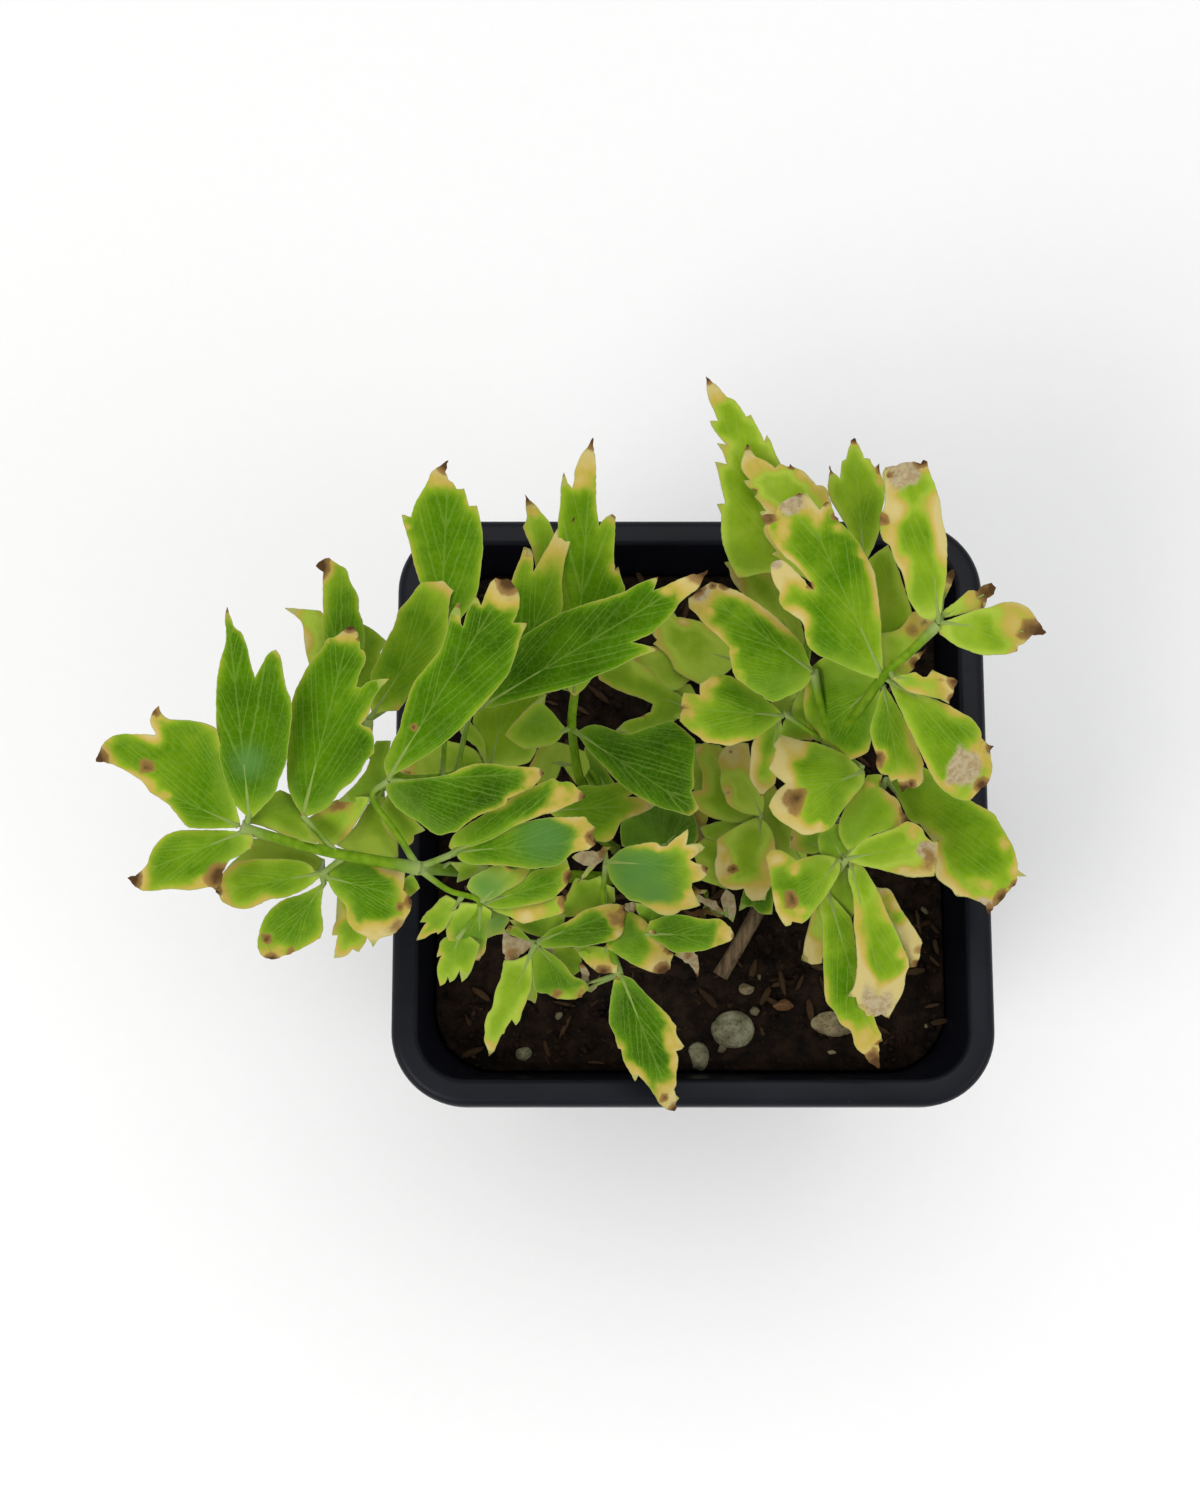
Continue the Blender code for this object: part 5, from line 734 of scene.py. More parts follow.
         (747, 821), (732, 829), (717, 840), (717, 849), (717, 856), (715, 861), (715, 872), (719, 882),
         (725, 887), (736, 890), (744, 888), (746, 895), (752, 901), (759, 900), (765, 900), (767, 892),
         (771, 886), (776, 860), (772, 832)]),
        ((762, 816), (731, 752), (11, 14), 1, 1, (0.94, 1.4, 3, 0.4), [("straw", 728, 790, 10),
         ("tan", 727, 793, 5), ("straw", 733, 762, 10)], [
         (754, 815), (738, 811), (727, 803), (725, 796), (721, 787), (720, 778), (721, 772), (717, 761),
         (722, 750), (733, 742), (748, 744), (752, 766), (758, 780), (764, 800)]),
        ((757, 817), (695, 748), (8, 11), 0, 1, (0.82, 0.7, 2, 0), [], [
         (746, 822), (730, 822), (708, 816), (694, 804), (690, 792), (702, 790), (702, 772), (697, 760),
         (695, 748), (705, 742), (718, 750), (740, 785)]),
        ((755, 822), (702, 828), (8, 6), 0, 1, (0.72, 0.2, 0, 0), [], [
         (740, 819), (716, 822), (700, 828), (705, 838), (716, 840), (735, 831)]),
        ((756, 838), (702, 866), (7, 5.5), 0, 0.5, (0.88, 0.3, 1, 0), [], [
         (725, 836), (705, 838), (692, 850), (696, 862), (700, 880), (715, 885), (727, 889), (742, 876)]),
        ((764, 850), (739, 911), (4, 1), 0, 1, (0.2, 0.2, 0, 0), [], [
         (750, 870), (743, 892), (739, 911), (747, 907), (753, 906), (760, 913), (772, 914), (773, 885)]),
    ]),
    "frondLowNorth": dict(node="frond_low_north", slot="leaf_dark", stems=[
        ([(722, 836, -13), (735, 780, 1), (745, 715, 10), (738, 665, 15)], 1.2),
        ([(743, 725, 9), (702, 704, 13)], 0.8),
        ([(744, 700, 11), (694, 676, 16)], 0.8),
    ], leaves=[
        ((738, 662), (652, 634), (15, 19), 1, 1, (0.95, 0.8, 2, 0), [("straw", 683, 622, 10)], [
         (735, 648), (719, 637), (703, 623), (690, 619), (677, 617), (673, 612), (660, 622), (652, 634),
         (657, 640), (653, 644), (663, 651), (671, 661), (676, 671), (700, 684), (722, 676)]),
        ((694, 676), (627, 661), (16, 18), 1, 1, (0.94, 0.6, 1.5, 0), [("straw", 634, 660, 6)], [
         (688, 656), (660, 648), (645, 645), (632, 642), (635, 652), (627, 661), (638, 670), (649, 679),
         (662, 689), (678, 690)]),
        ((700, 704), (652, 689), (13, 15), 1, 1, (0.94, 0.8, 1.5, 0.4), [("straw", 662, 694, 8)], [
         (690, 684), (668, 684), (652, 689), (660, 695), (669, 704), (672, 718), (680, 719), (690, 722)]),
        ((690, 708), (598, 677), (14, 24), 1, 1, (0.66, 0.4, 1, 0), [("tan", 643, 716, 6),
         ("pale", 640, 668, 12)], [
         (672, 722), (650, 729), (632, 734), (616, 730), (625, 722), (640, 717), (651, 712), (653, 704),
         (640, 698), (625, 693), (612, 687), (600, 680), (598, 677), (603, 668), (615, 662), (628, 658),
         (644, 666), (662, 684), (684, 698)]),
        ((735, 788), (694, 744), (1, 4), 1, 1, (0.79, 0.5, 1, 0), [], [
         (712, 812), (696, 795), (690, 765), (694, 744), (720, 745), (736, 765)]),
    ]),
    "frondLowWest": dict(node="frond_low_west", slot="leaf_dark", stems=[
        ([(684, 868, -13), (672, 856, -1), (664, 846, 5)], 1.1),
    ], leaves=[
        ((664, 847), (694, 812), (4, 6), 0.5, 0.5, (0.25, 0.2, 0, 0), [], [
         (640, 848), (622, 846), (621, 825), (630, 812), (655, 803), (672, 806), (690, 806), (698, 835),
         (690, 852)]),
        ((690, 852), (717, 832), (3.2, 3.8), 0, 0, (0.98, 1, 1, 0), [("straw", 706, 832, 16),
         ("paper", 712, 832, 8)], [
         (694, 830), (691, 817), (696, 808), (699, 803), (704, 812), (708, 817), (706, 824), (711, 826),
         (717, 829), (717, 835), (712, 838), (706, 844), (700, 848)]),
    ]),
    "witheredLeaf": dict(node="withered_leaf", slot="dry_leaf", stems=[
        ([(706, 894, -13), (705, 912, -7), (690, 936, -4)], 0.9),
        ([(705, 908, -8), (726, 914, -4)], 0.7),
    ], leaves=[
        ((704, 913), (681, 908), (-6, -1), 0, 0, (0.97, 5, 6, 6), [("rust", 690, 912, 12),
         ("tan", 712, 913, 14)], [
         (705, 918), (688, 916), (681, 908), (690, 911), (705, 908), (717, 909), (724, 918)]),
        ((727, 916), (727, 889), (-4, 0), 0, 1, (0.79, 1, 1, 0), [("paper", 728, 905, 16)], [
         (724, 911), (721, 899), (726, 889), (734, 895), (736, 909), (733, 922)]),
        ((690, 936), (697, 979), (-4, -8), 1, 1, (0.97, 3, 3, 1), [("paper", 692, 962, 14),
         ("pale", 696, 974, 5), ("tan", 688, 955, 8)], [
         (675, 955), (682, 960), (690, 967), (694, 972), (697, 979), (700, 968), (698, 959), (694, 950)]),
        ((724, 913), (692, 884), (-4, 1), 0, -1, (0.97, 3, 3, 2), [("tan", 697, 890, 9),
         ("paper", 712, 902, 14), ("tan", 720, 908, 8)], [
         (716, 901), (705, 897), (698, 894), (704, 893), (707, 890), (700, 889), (692, 884), (694, 892),
         (697, 900), (705, 905), (715, 911)]),
    ]),
}

# Lengths on the sheet are in pixels; thickness, wave, curl, crumple and midrib groove are in mm
bladeMake = dict(perMm=7.0, thick=0.38, thinEdge=0.55, grid=6.0, gridJitter=0.9, marginStep=3.6, marginGap=3.0,
                 marginJitter=0.3, veinGap=2.4, sharpTurn=42, bow=5, ragged=1.6, raggedFrom=0.7, wave=0.45, waves=9,
                 curl=1.5, crumple=1.6, groove=0.12)
veinMake = dict(slope=0.36, pitch=0.125, fanPitch=0.34, bend=1.1, wander=0.3)
# How far each kind of mark turns the leaf: yellowing, browning, papering, painted bluish sheen, paling
markPower = dict(gold=(0.72, -0.5, 0, 0, 0), straw=(1.1, -0.5, 0, 0, 0), tan=(0.8, 0.32, 0, 0, 0),
                 rust=(0.6, 0.55, 0, 0, 0), brown=(0.6, 0.85, 0, 0, 0), paper=(0.9, -0.5, 1.1, 0, 0),
                 bloom=(-1, -0.5, 0, 0.8, 0), pale=(-1, -0.5, 0, 0, 0.45))


def hermite(a, b, fromA, intoB, count):
    t = np.linspace(0, 1, count, endpoint=False)[:, None]
    return ((2 * t**3 - 3 * t**2 + 1) * a + (t**3 - 2 * t**2 + t) * fromA
            + (3 * t**2 - 2 * t**3) * b + (t**3 - t**2) * intoB)


def turned(vector, degrees):
    c, s = math.cos(math.radians(degrees)), math.sin(math.radians(degrees))
    return np.array((vector[0] * c - vector[1] * s, vector[0] * s + vector[1] * c))


# The margin through its named points: sharp at teeth and notches, bowed between them, ragged where it is dry
def fineMargin(leaf, draw):
    make = bladeMake
    points = np.array([leaf[0], *leaf[7]], float)
    tip = np.array(leaf[1], float)
    after = np.roll(points, -1, 0)
    before = np.roll(points, 1, 0)
    area = np.sum(points[:, 0] * after[:, 1] - after[:, 0] * points[:, 1])
    bow = make["bow"] * (1 if area > 0 else -1)
    into, out = points - before, after - points
    turn = np.degrees(np.arctan2(into[:, 0] * out[:, 1] - into[:, 1] * out[:, 0], (into * out).sum(1)))
    convex = turn * np.sign(area)
    sharp = np.abs(turn) > make["sharpTurn"]
    sharp[0] = True
    rows = []
    for i in range(len(points)):
        j = (i + 1) % len(points)
        chord = points[j] - points[i]
        length = np.linalg.norm(chord)
        smoothOut = (after[i] - before[i]) / np.linalg.norm(after[i] - before[i]) * length
        smoothIn = (after[j] - before[j]) / np.linalg.norm(after[j] - before[j]) * length
        fromA = turned(chord, -bow) if sharp[i] else smoothOut
        intoB = turned(chord, bow) if sharp[j] else smoothIn
        rows.append(hermite(points[i], points[j], fromA, intoB, max(1, round(length / make["marginStep"]))))
    margin = np.concatenate(rows)
    outward = np.roll(margin, -1, 0) - np.roll(margin, 1, 0)
    outward = np.stack([outward[:, 1], -outward[:, 0]], 1) * np.sign(area)
    outward /= np.maximum(np.linalg.norm(outward, axis=1), 1e-6)[:, None]
    push = np.array([draw.uniform(-make["marginJitter"], make["marginJitter"]) for _ in margin])
    burnt = np.clip(1.2 - np.linalg.norm(margin - tip, axis=1) / (leaf[5][3] * make["perMm"] + 0.1), 0, 1)
    for kind, x, y, reach in leaf[6]:
        if kind in ("brown", "paper", "rust"):
            burnt = np.maximum(burnt, 1.2 - np.linalg.norm(margin - (x, y), axis=1) / reach)
    rough = np.array([draw.uniform(-1, 0.35) for _ in margin])
    push += rough * make["ragged"] * np.clip(burnt * 1.6, 0, 1) * (leaf[5][3] > make["raggedFrom"])
    push[0] = 0
    return margin + outward * push[:, None], points[convex > make["sharpTurn"]]


def insideOf(points, outline):
    hit = np.zeros(len(points), bool)
    for a, b in zip(outline, np.roll(outline, -1, 0)):
        cross = (a[1] > points[:, 1]) != (b[1] > points[:, 1])
        with np.errstate(divide="ignore", invalid="ignore"):
            at = a[0] + (points[:, 1] - a[1]) * (b[0] - a[0]) / (b[1] - a[1])
        hit ^= cross & (points[:, 0] < at)
    return hit


def gapTo(points, starts, ends):
    if len(starts) == 0:
        return np.full(len(points), 99.0)
    nearest = np.full(len(points), 1e9)
    for a, b in zip(starts, ends):
        along = b - a
        share = np.clip(((points - a) @ along) / max(along @ along, 1e-9), 0, 1)
        nearest = np.minimum(nearest, np.linalg.norm(points - a - share[:, None] * along, axis=1))
    return nearest


# Veins leave the midrib, or the base, at a narrow angle: each is where this number is whole
def fanNumber(along, aside):
    side = np.abs(aside) * (1 + veinMake["bend"] * np.abs(aside))
    start = along - side / veinMake["slope"]
    spread = side / np.maximum(along, 0.03) / veinMake["slope"] - 1
    return np.where(start > 0, start / veinMake["pitch"], -spread / veinMake["fanPitch"])


def bladeForm(points, leaf):
    base, tip, heights, arch, lift = (np.array(v, float) for v in leaf[:5])
    axis = tip - base
    offset = points - base
    square = axis @ axis
    along = offset @ axis / square
    aside = (offset[:, 0] * axis[1] - offset[:, 1] * axis[0]) / square
    level = heights[0] + (heights[1] - heights[0]) * along + arch * 4 * along * (1 - along) + lift * 4 * aside**2
    return level, along, aside


# One leaflet: its fine outline, split into triangles along the midrib, with what the finish reads at each point
def makeBlade(leaf, draw):
    make = bladeMake
    base, tip = np.array(leaf[0], float), np.array(leaf[1], float)
    margin, teeth = fineMargin(leaf, draw)
    starts, ends = margin, np.roll(margin, -1, 0)
    length = np.linalg.norm(tip - base)
    unit = (tip - base) / length
    side = np.array((-unit[1], unit[0]))
    count = int(np.linalg.norm(margin - base, axis=1).max() / make["grid"]) + 1
    span = range(-count, count + 1)
    cells = np.array([(i + 0.5 * (j % 2), j * 0.87) for i in span for j in span])
    jitter = np.array([(draw.uniform(-1, 1), draw.uniform(-1, 1)) for _ in cells])
    cells = cells * make["grid"] + jitter * make["gridJitter"]
    cells = base + cells[:, :1] * unit + cells[:, 1:] * side
    cells = cells[insideOf(cells, margin)]
    cells = cells[gapTo(cells, starts, ends) > make["marginGap"]]
    midrib = base + np.arange(make["grid"], length, make["grid"])[:, None] * unit
    midrib = midrib[insideOf(midrib, margin) & (gapTo(midrib, starts, ends) > 1.5)]
    midrib = np.concatenate([margin[:1], midrib])
    cells = cells[gapTo(cells, midrib[:-1], midrib[1:]) > make["veinGap"]]
    flat = [Vector(p) for p in (*margin, *midrib[1:], *cells)]
    spine = [0, *range(len(margin), len(margin) + len(midrib) - 1)]
    verts, _, faces, *_ = delaunay_2d_cdt(flat, list(zip(spine, spine[1:])), [list(range(len(margin)))], 1, 0.05)
    spots = np.array([tuple(v) for v in verts])
    level, along, aside = bladeForm(spots, leaf)
    fields = bladeLook(leaf, spots, along, aside, starts, ends, teeth, length, draw)
    phase = draw.uniform(0, 6.28)
    ripple = np.sin(along * make["waves"] + phase + np.sign(aside) * 1.3) * np.clip(np.abs(aside) / 0.3, 0, 1) ** 1.5
    curl = draw.choice((-1, -0.7, 0.6, 1)) * make["curl"]
    dry = np.clip(fields["yellowing"], 0, 1) ** 2 * np.clip(fields["browning"] + 0.5, 0, 1)
    crumple = np.array([noise.noise(Vector((x * 0.05, y * 0.05, phase))) for x, y in spots])
    level = level + make["wave"] * ripple + (curl + crumple * make["crumple"]) * dry
    level = level - make["groove"] * np.exp(-(fields["midGap"] / 0.5) ** 2)
    places = sheetPlaces(spots[:, 0], spots[:, 1], level)
    tris = np.array([f for f in faces if len(f) == 3])
    a, b, c = (places[tris[:, k]] for k in range(3))
    normal = np.cross(b - a, c - a)
    if normal[:, 2].sum() < 0:
        tris = tris[:, ::-1]
        normal = -normal
    pointing = np.zeros_like(places)
    for k in range(3):
        np.add.at(pointing, tris[:, k], normal)
    pointing /= np.maximum(np.linalg.norm(pointing, axis=1), 1e-12)[:, None]
    full = np.clip(fields["edgeGap"] / 0.5, 0, 1)[:, None]
    half = make["thick"] * mm / 2 * (make["thinEdge"] + (1 - make["thinEdge"]) * full)
    count = len(places)
    links = {(tri[i], tri[(i + 1) % 3]) for tri in tris for i in range(3)}
    rim = [(i, j) for i, j in links if (j, i) not in links]
    shell = [tuple(t) for t in tris] + [(t[2] + count, t[1] + count, t[0] + count) for t in tris]
    shell += [(j, i, i + count, j + count) for i, j in sorted(rim)]
    fields = {key: np.concatenate([v, v]) for key, v in fields.items()}
    fields["under"] = np.repeat([0.0, 1.0], count)
    return np.concatenate([places + pointing * half, places - pointing * half]), shell, fields


# What the leaf finish reads: distances in mm to the midrib and the edge, the vein number and how many mm
# it takes to grow by one, how far each spot has turned yellow, brown, papery or pale, and its painted bluish sheen
def bladeLook(leaf, spots, along, aside, starts, ends, teeth, length, draw):
    perMm = bladeMake["perMm"]
    tone, marginYellow, tipYellow, tipBrown = leaf[5]
    seed = draw.uniform(0, 90)
    edgeGap = gapTo(spots, starts, ends) / perMm
    drift = np.array([noise.noise(Vector((x * 0.03, y * 0.03, seed))) for x, y in spots])
    fray = np.array([noise.noise(Vector((x * 0.09, y * 0.09, seed + 5))) for x, y in spots])
    fan = fanNumber(along, aside)
    step = 0.004
    slopes = np.hypot(fanNumber(along + step, aside) - fan, fanNumber(along, np.abs(aside) + step) - fan) / step
    tipGap = np.linalg.norm(spots - np.array(leaf[1], float), axis=1) / perMm
    toothGap = tipGap + 99
    for tooth in teeth:
        toothGap = np.minimum(toothGap, np.linalg.norm(spots - tooth, axis=1) / perMm)
    outward = np.clip((along - 0.12) / 0.45, 0, 1)
    wide = marginYellow * np.clip(0.8 + 2.2 * drift, 0, 2) * outward
    yellowing = (wide - edgeGap) / 1.7
    hugging = np.exp(-edgeGap / 0.8)
    reach = tipYellow * (1 + 0.4 * drift)
    yellowing = np.maximum(yellowing, (reach - tipGap + 0.8 * hugging - 0.4) / max(2.4, 0.6 * tipYellow))
    yellowing = np.maximum(yellowing, (0.22 * tipYellow - toothGap + 0.1) / 1.7)
    yellowing = np.maximum(yellowing, -1)
    browning = (tipBrown * (1 + 0.5 * drift) - tipGap) / max(1, 0.7 * tipBrown)
    browning = np.maximum(browning, (0.16 * tipBrown - toothGap) / 0.9)
    browning = np.where(tipBrown > 0, np.maximum(browning, -0.5), -0.5)
    papering, blooming, paling = (np.zeros(len(spots)) for _ in range(3))
    for kind, x, y, reach in leaf[6]:
        yellow, brown, paper, bloom, pale = markPower[kind]
        soft = bloom + pale > 0
        away = np.linalg.norm(spots - (x, y), axis=1) / (reach * (1 + (0 if soft else 0.5 * drift + 0.6 * fray)))
        inwards = np.maximum(edgeGap - gapTo(np.array([(x, y)]), starts, ends)[0] / perMm, 0)
        here = np.exp(-0.75 * away**2) * (1 if soft else np.exp(-inwards / 2))
        yellowing = np.maximum(yellowing, (yellow + 1) * here - 1)
        browning = np.maximum(browning, (brown + 0.5) * here - 0.5)
        papering = np.maximum(papering, paper * here)
        # The sheen share is a painted bluish sheen, not a colour of the leaf
        blooming = np.maximum(blooming, bloom * here)
        paling = np.maximum(paling, pale * here)
    lit = 0.08 * np.exp(-edgeGap / 0.9) + 0.2 * np.exp(-(along / 0.12) ** 2)
    return {"tone": tone - 0.06 + lit + paling, "midGap": np.abs(aside) * length / perMm, "edgeGap": edgeGap,
            "fan": fan + veinMake["wander"] * np.sin(fan * 2.3 + seed), "fanStep": length / perMm / slopes,
            "yellowing": yellowing, "browning": browning, "papering": papering, "blooming": blooming}


# Points along a smooth curve through a stem's own points
def smoothRoute(points, perSpan=6):
    points = [np.array(p) for p in points]
    ends = [points[0] * 2 - points[1], *points, points[-1] * 2 - points[-2]]
    route = []
    for a, b, c, d in zip(ends, ends[1:], ends[2:], ends[3:]):
        for t in np.linspace(0, 1, perSpan, endpoint=False):
            route.append(0.5 * (2 * b + (c - a) * t + (2 * a - 5 * b + 4 * c - d) * t * t
                                + (3 * b - 3 * c + d - a) * t**3))
    route.append(points[-1])
    return np.array(route)


# Its taper is for the petiole and for the side stalks
stemMake = dict(sides=14, ridge=0.045, ridges=6, taper=(0.75, 0.8), swell=0.22, swellReach=0.0022, rootDepth=0.0066)


# A grooved round stem along a route, thinning to its end and swelling at its joints
def makeStem(route, thickStart, thickEnd, swell=1.0):
    make = stemMake
    steps = np.linalg.norm(np.diff(route, axis=0), axis=1)
    run = np.concatenate([[0], np.cumsum(steps)])
    tangents = np.gradient(route, axis=0)
    tangents /= np.linalg.norm(tangents, axis=1)[:, None]
    across = np.cross(tangents[0], (0.3, 1, 0.2))
    verts, rise, paling = [], [], []
    angles = np.linspace(0, 2 * math.pi, make["sides"], endpoint=False)
    ridge = 1 + make["ridge"] * np.cos(angles * make["ridges"])
    for place, tangent, far in zip(route, tangents, run):
        across = across - tangent * (across @ tangent)
        across /= np.linalg.norm(across)
        other = np.cross(tangent, across)
        share = far / run[-1]
        toEnd = min(far, run[-1] - far)
        size = (thickStart + (thickEnd - thickStart) * share) * mm / 2
        size *= 1 + swell * make["swell"] * math.exp(-(toEnd / make["swellReach"]) ** 2)
        verts.append(place + (np.cos(angles) * ridge)[:, None] * across * size
                     + (np.sin(angles) * ridge)[:, None] * other * size)
        rise.append(np.full(make["sides"], place[2] - (potHeight - soilDrop)))
        # paling lights the swollen joints, where the stem finish paints a highlight
        paling.append(np.full(make["sides"], swell * math.exp(-(toEnd / make["swellReach"]) ** 2)))
    faces = []
    n = make["sides"]
    for row in range(len(route) - 1):
        for k in range(n):
            after = (k + 1) % n
            faces.append((row * n + k, row * n + after, (row + 1) * n + after, (row + 1) * n + k))
    faces.append(tuple(range(n))[::-1])
    faces.append(tuple((len(route) - 1) * n + k for k in range(n)))
    return np.concatenate(verts), faces, {"rise": np.concatenate(rise), "paling": np.concatenate(paling)}


def rootedRoute(points):
    foot = np.array(sheetPoint(*points[0]))
    below = foot - (0, 0, stemMake["rootDepth"])
    over = foot + (0, 0, 1.5 * mm)
    top = smoothRoute([over] + [np.array(sheetPoint(*p)) for p in points[1:]])
    return np.concatenate([[below, foot], top])


def nearestOn(routes, spot):
    best, gap = None, 1e9
    for route in routes:
        for a, b in zip(route, route[1:]):
            along = b - a
            share = min(1, max(0, (spot - a) @ along / (along @ along)))
            point = a + along * share
            if np.linalg.norm(spot - point) < gap:
                best, gap = point, np.linalg.norm(spot - point)
    return best, gap


ribMake = dict(shares=(0.02, 0.12, 0.25, 0.4, 0.58, 0.78), thickStart=0.9, thickEnd=0.22, swell=0.3, sink=0.22,
               marginGap=3, stemGap=0.6)
fieldNames = ("tone", "midGap", "edgeGap", "fan", "fanStep", "yellowing", "browning", "papering", "blooming",
              "under", "rise", "paling")


def makeFrond(name, frond, materials):
    draw = random.Random(name)
    verts, faces, slots, fields = [], [], [], {}
    total = 0

    def add(newVerts, newFaces, newFields, slot):
        nonlocal total
        verts.append(newVerts)
        faces.extend(tuple(i + total for i in f) for f in newFaces)
        slots.extend([slot] * len(newFaces))
        for key in fieldNames:
            fields.setdefault(key, []).append(newFields.get(key, np.zeros(len(newVerts))))
        total += len(newVerts)

    routes = []
    for number, (points, thick) in enumerate(frond["stems"]):
        route = rootedRoute(points) if number == 0 else smoothRoute([np.array(sheetPoint(*p)) for p in points])
        routes.append(route)
        add(*makeStem(route, thick, thick * stemMake["taper"][number > 0]), 1)
    for leaf in frond["leaves"]:
        add(*makeBlade(leaf, draw), 0)
        base, tip = np.array(leaf[0], float), np.array(leaf[1], float)
        shares = np.array(ribMake["shares"])
        spots = base + shares[:, None] * (tip - base)
        outline = np.array([leaf[0], *leaf[7]], float)
        clear = gapTo(spots, outline, np.roll(outline, -1, 0)) > ribMake["marginGap"]
        inner = insideOf(spots, outline) & clear | (shares < 0.2)
        spots = spots[:np.argmin([*inner, False])]
        level, *_ = bladeForm(spots, leaf)
        rib = sheetPlaces(spots[:, 0], spots[:, 1], level - ribMake["sink"])
        start, gap = nearestOn(routes, rib[0])
        if gap > ribMake["stemGap"] * mm:
            rib = np.concatenate([[start], rib])
        ribVerts, ribFaces, ribFields = makeStem(rib, ribMake["thickStart"], ribMake["thickEnd"], ribMake["swell"])
        ribFields["paling"] = np.full(len(ribVerts), 0.5 + 0.3 * leaf[5][0])
        add(ribVerts, ribFaces, ribFields, 1)
    piece = meshPiece(name, np.concatenate(verts), faces,
                      {key: np.concatenate(values) for key, values in fields.items()}, slots, sharp=50)
    for material in materials:
        piece.data.materials.append(material)
    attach(piece, "root")
    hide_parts(frond["node"])
    return piece


# Pot

potMake = dict(baseSide=0.072, rimCorner=0.0125, baseCorner=0.010, wall=0.0015, floor=0.002, rimWidth=0.0046,
               rimDrop=0.006, lipRoll=0.0015, innerRoll=0.001, baseRoll=0.0015, drainRadius=0.0045, drainReach=0.024,
               sideDrainRadius=0.003, cornerSteps=18)
potLook = dict(dark=(0.0028, 0.0032, 0.0060), light=(0.0055, 0.0062, 0.0105), scuff=(0.016, 0.018, 0.026),
               dust=(0.045, 0.036, 0.028), roughness=0.34, specular=0.14)


def roundedSquare(side, corner, height, steps):
    reach = side / 2 - corner
    ring = []
    for quarter in range(4):
        start = quarter * math.pi / 2
        middle = np.array((math.cos(start + math.pi / 4), math.sin(start + math.pi / 4))) * reach * math.sqrt(2)
        for turn in np.linspace(start, start + math.pi / 2, steps + 1):
            ring.append((middle[0] + math.cos(turn) * corner, middle[1] + math.sin(turn) * corner, height))
    return np.array(ring)


def loftFaces(rows, count):
    faces = []
    for row in range(rows - 1):
        for k in range(count):
            after = (k + 1) % count
            faces.append((row * count + k, row * count + after, (row + 1) * count + after, (row + 1) * count + k))
    faces.append(tuple(range(count))[::-1])
    faces.append(tuple((rows - 1) * count + k for k in range(count)))
    return faces


def wallSide(height):
    underRim = rimSide - 2 * (potMake["rimWidth"] - potMake["wall"])
    return potMake["baseSide"] + (underRim - potMake["baseSide"]) * height / potHeight


def wallCorner(height):
    return potMake["baseCorner"] + (potMake["rimCorner"] - potMake["baseCorner"]) * height / potHeight


def potFinish():
    look = potLook
    pot = Finish("potPlastic")
    worn = pot.grain(60, 4)
    pore = pot.grain(2600, 3, 0.6)
    scuff = pot.grain(1, 3, 0.6, stretch=(500, 500, 60)).step(0.62, 0.78)
    colour = pot.blend(worn.step(0.3, 0.7), look["dark"], look["light"])
    colour = pot.blend(scuff * 0.25, colour, look["scuff"])
    dust = pot.grain(800, 4, 0.7).step(0.66, 0.74) * 0.3
    colour = pot.blend(dust, colour, look["dust"])
    return pot.shade(Base_Color=colour, Roughness=look["roughness"] + worn * 0.10 + scuff * 0.15 + dust * 0.5,
                     Specular_IOR_Level=look["specular"], Normal=pot.bump(pore * 0.6 + scuff * 0.4, 0.18, 0.0001))


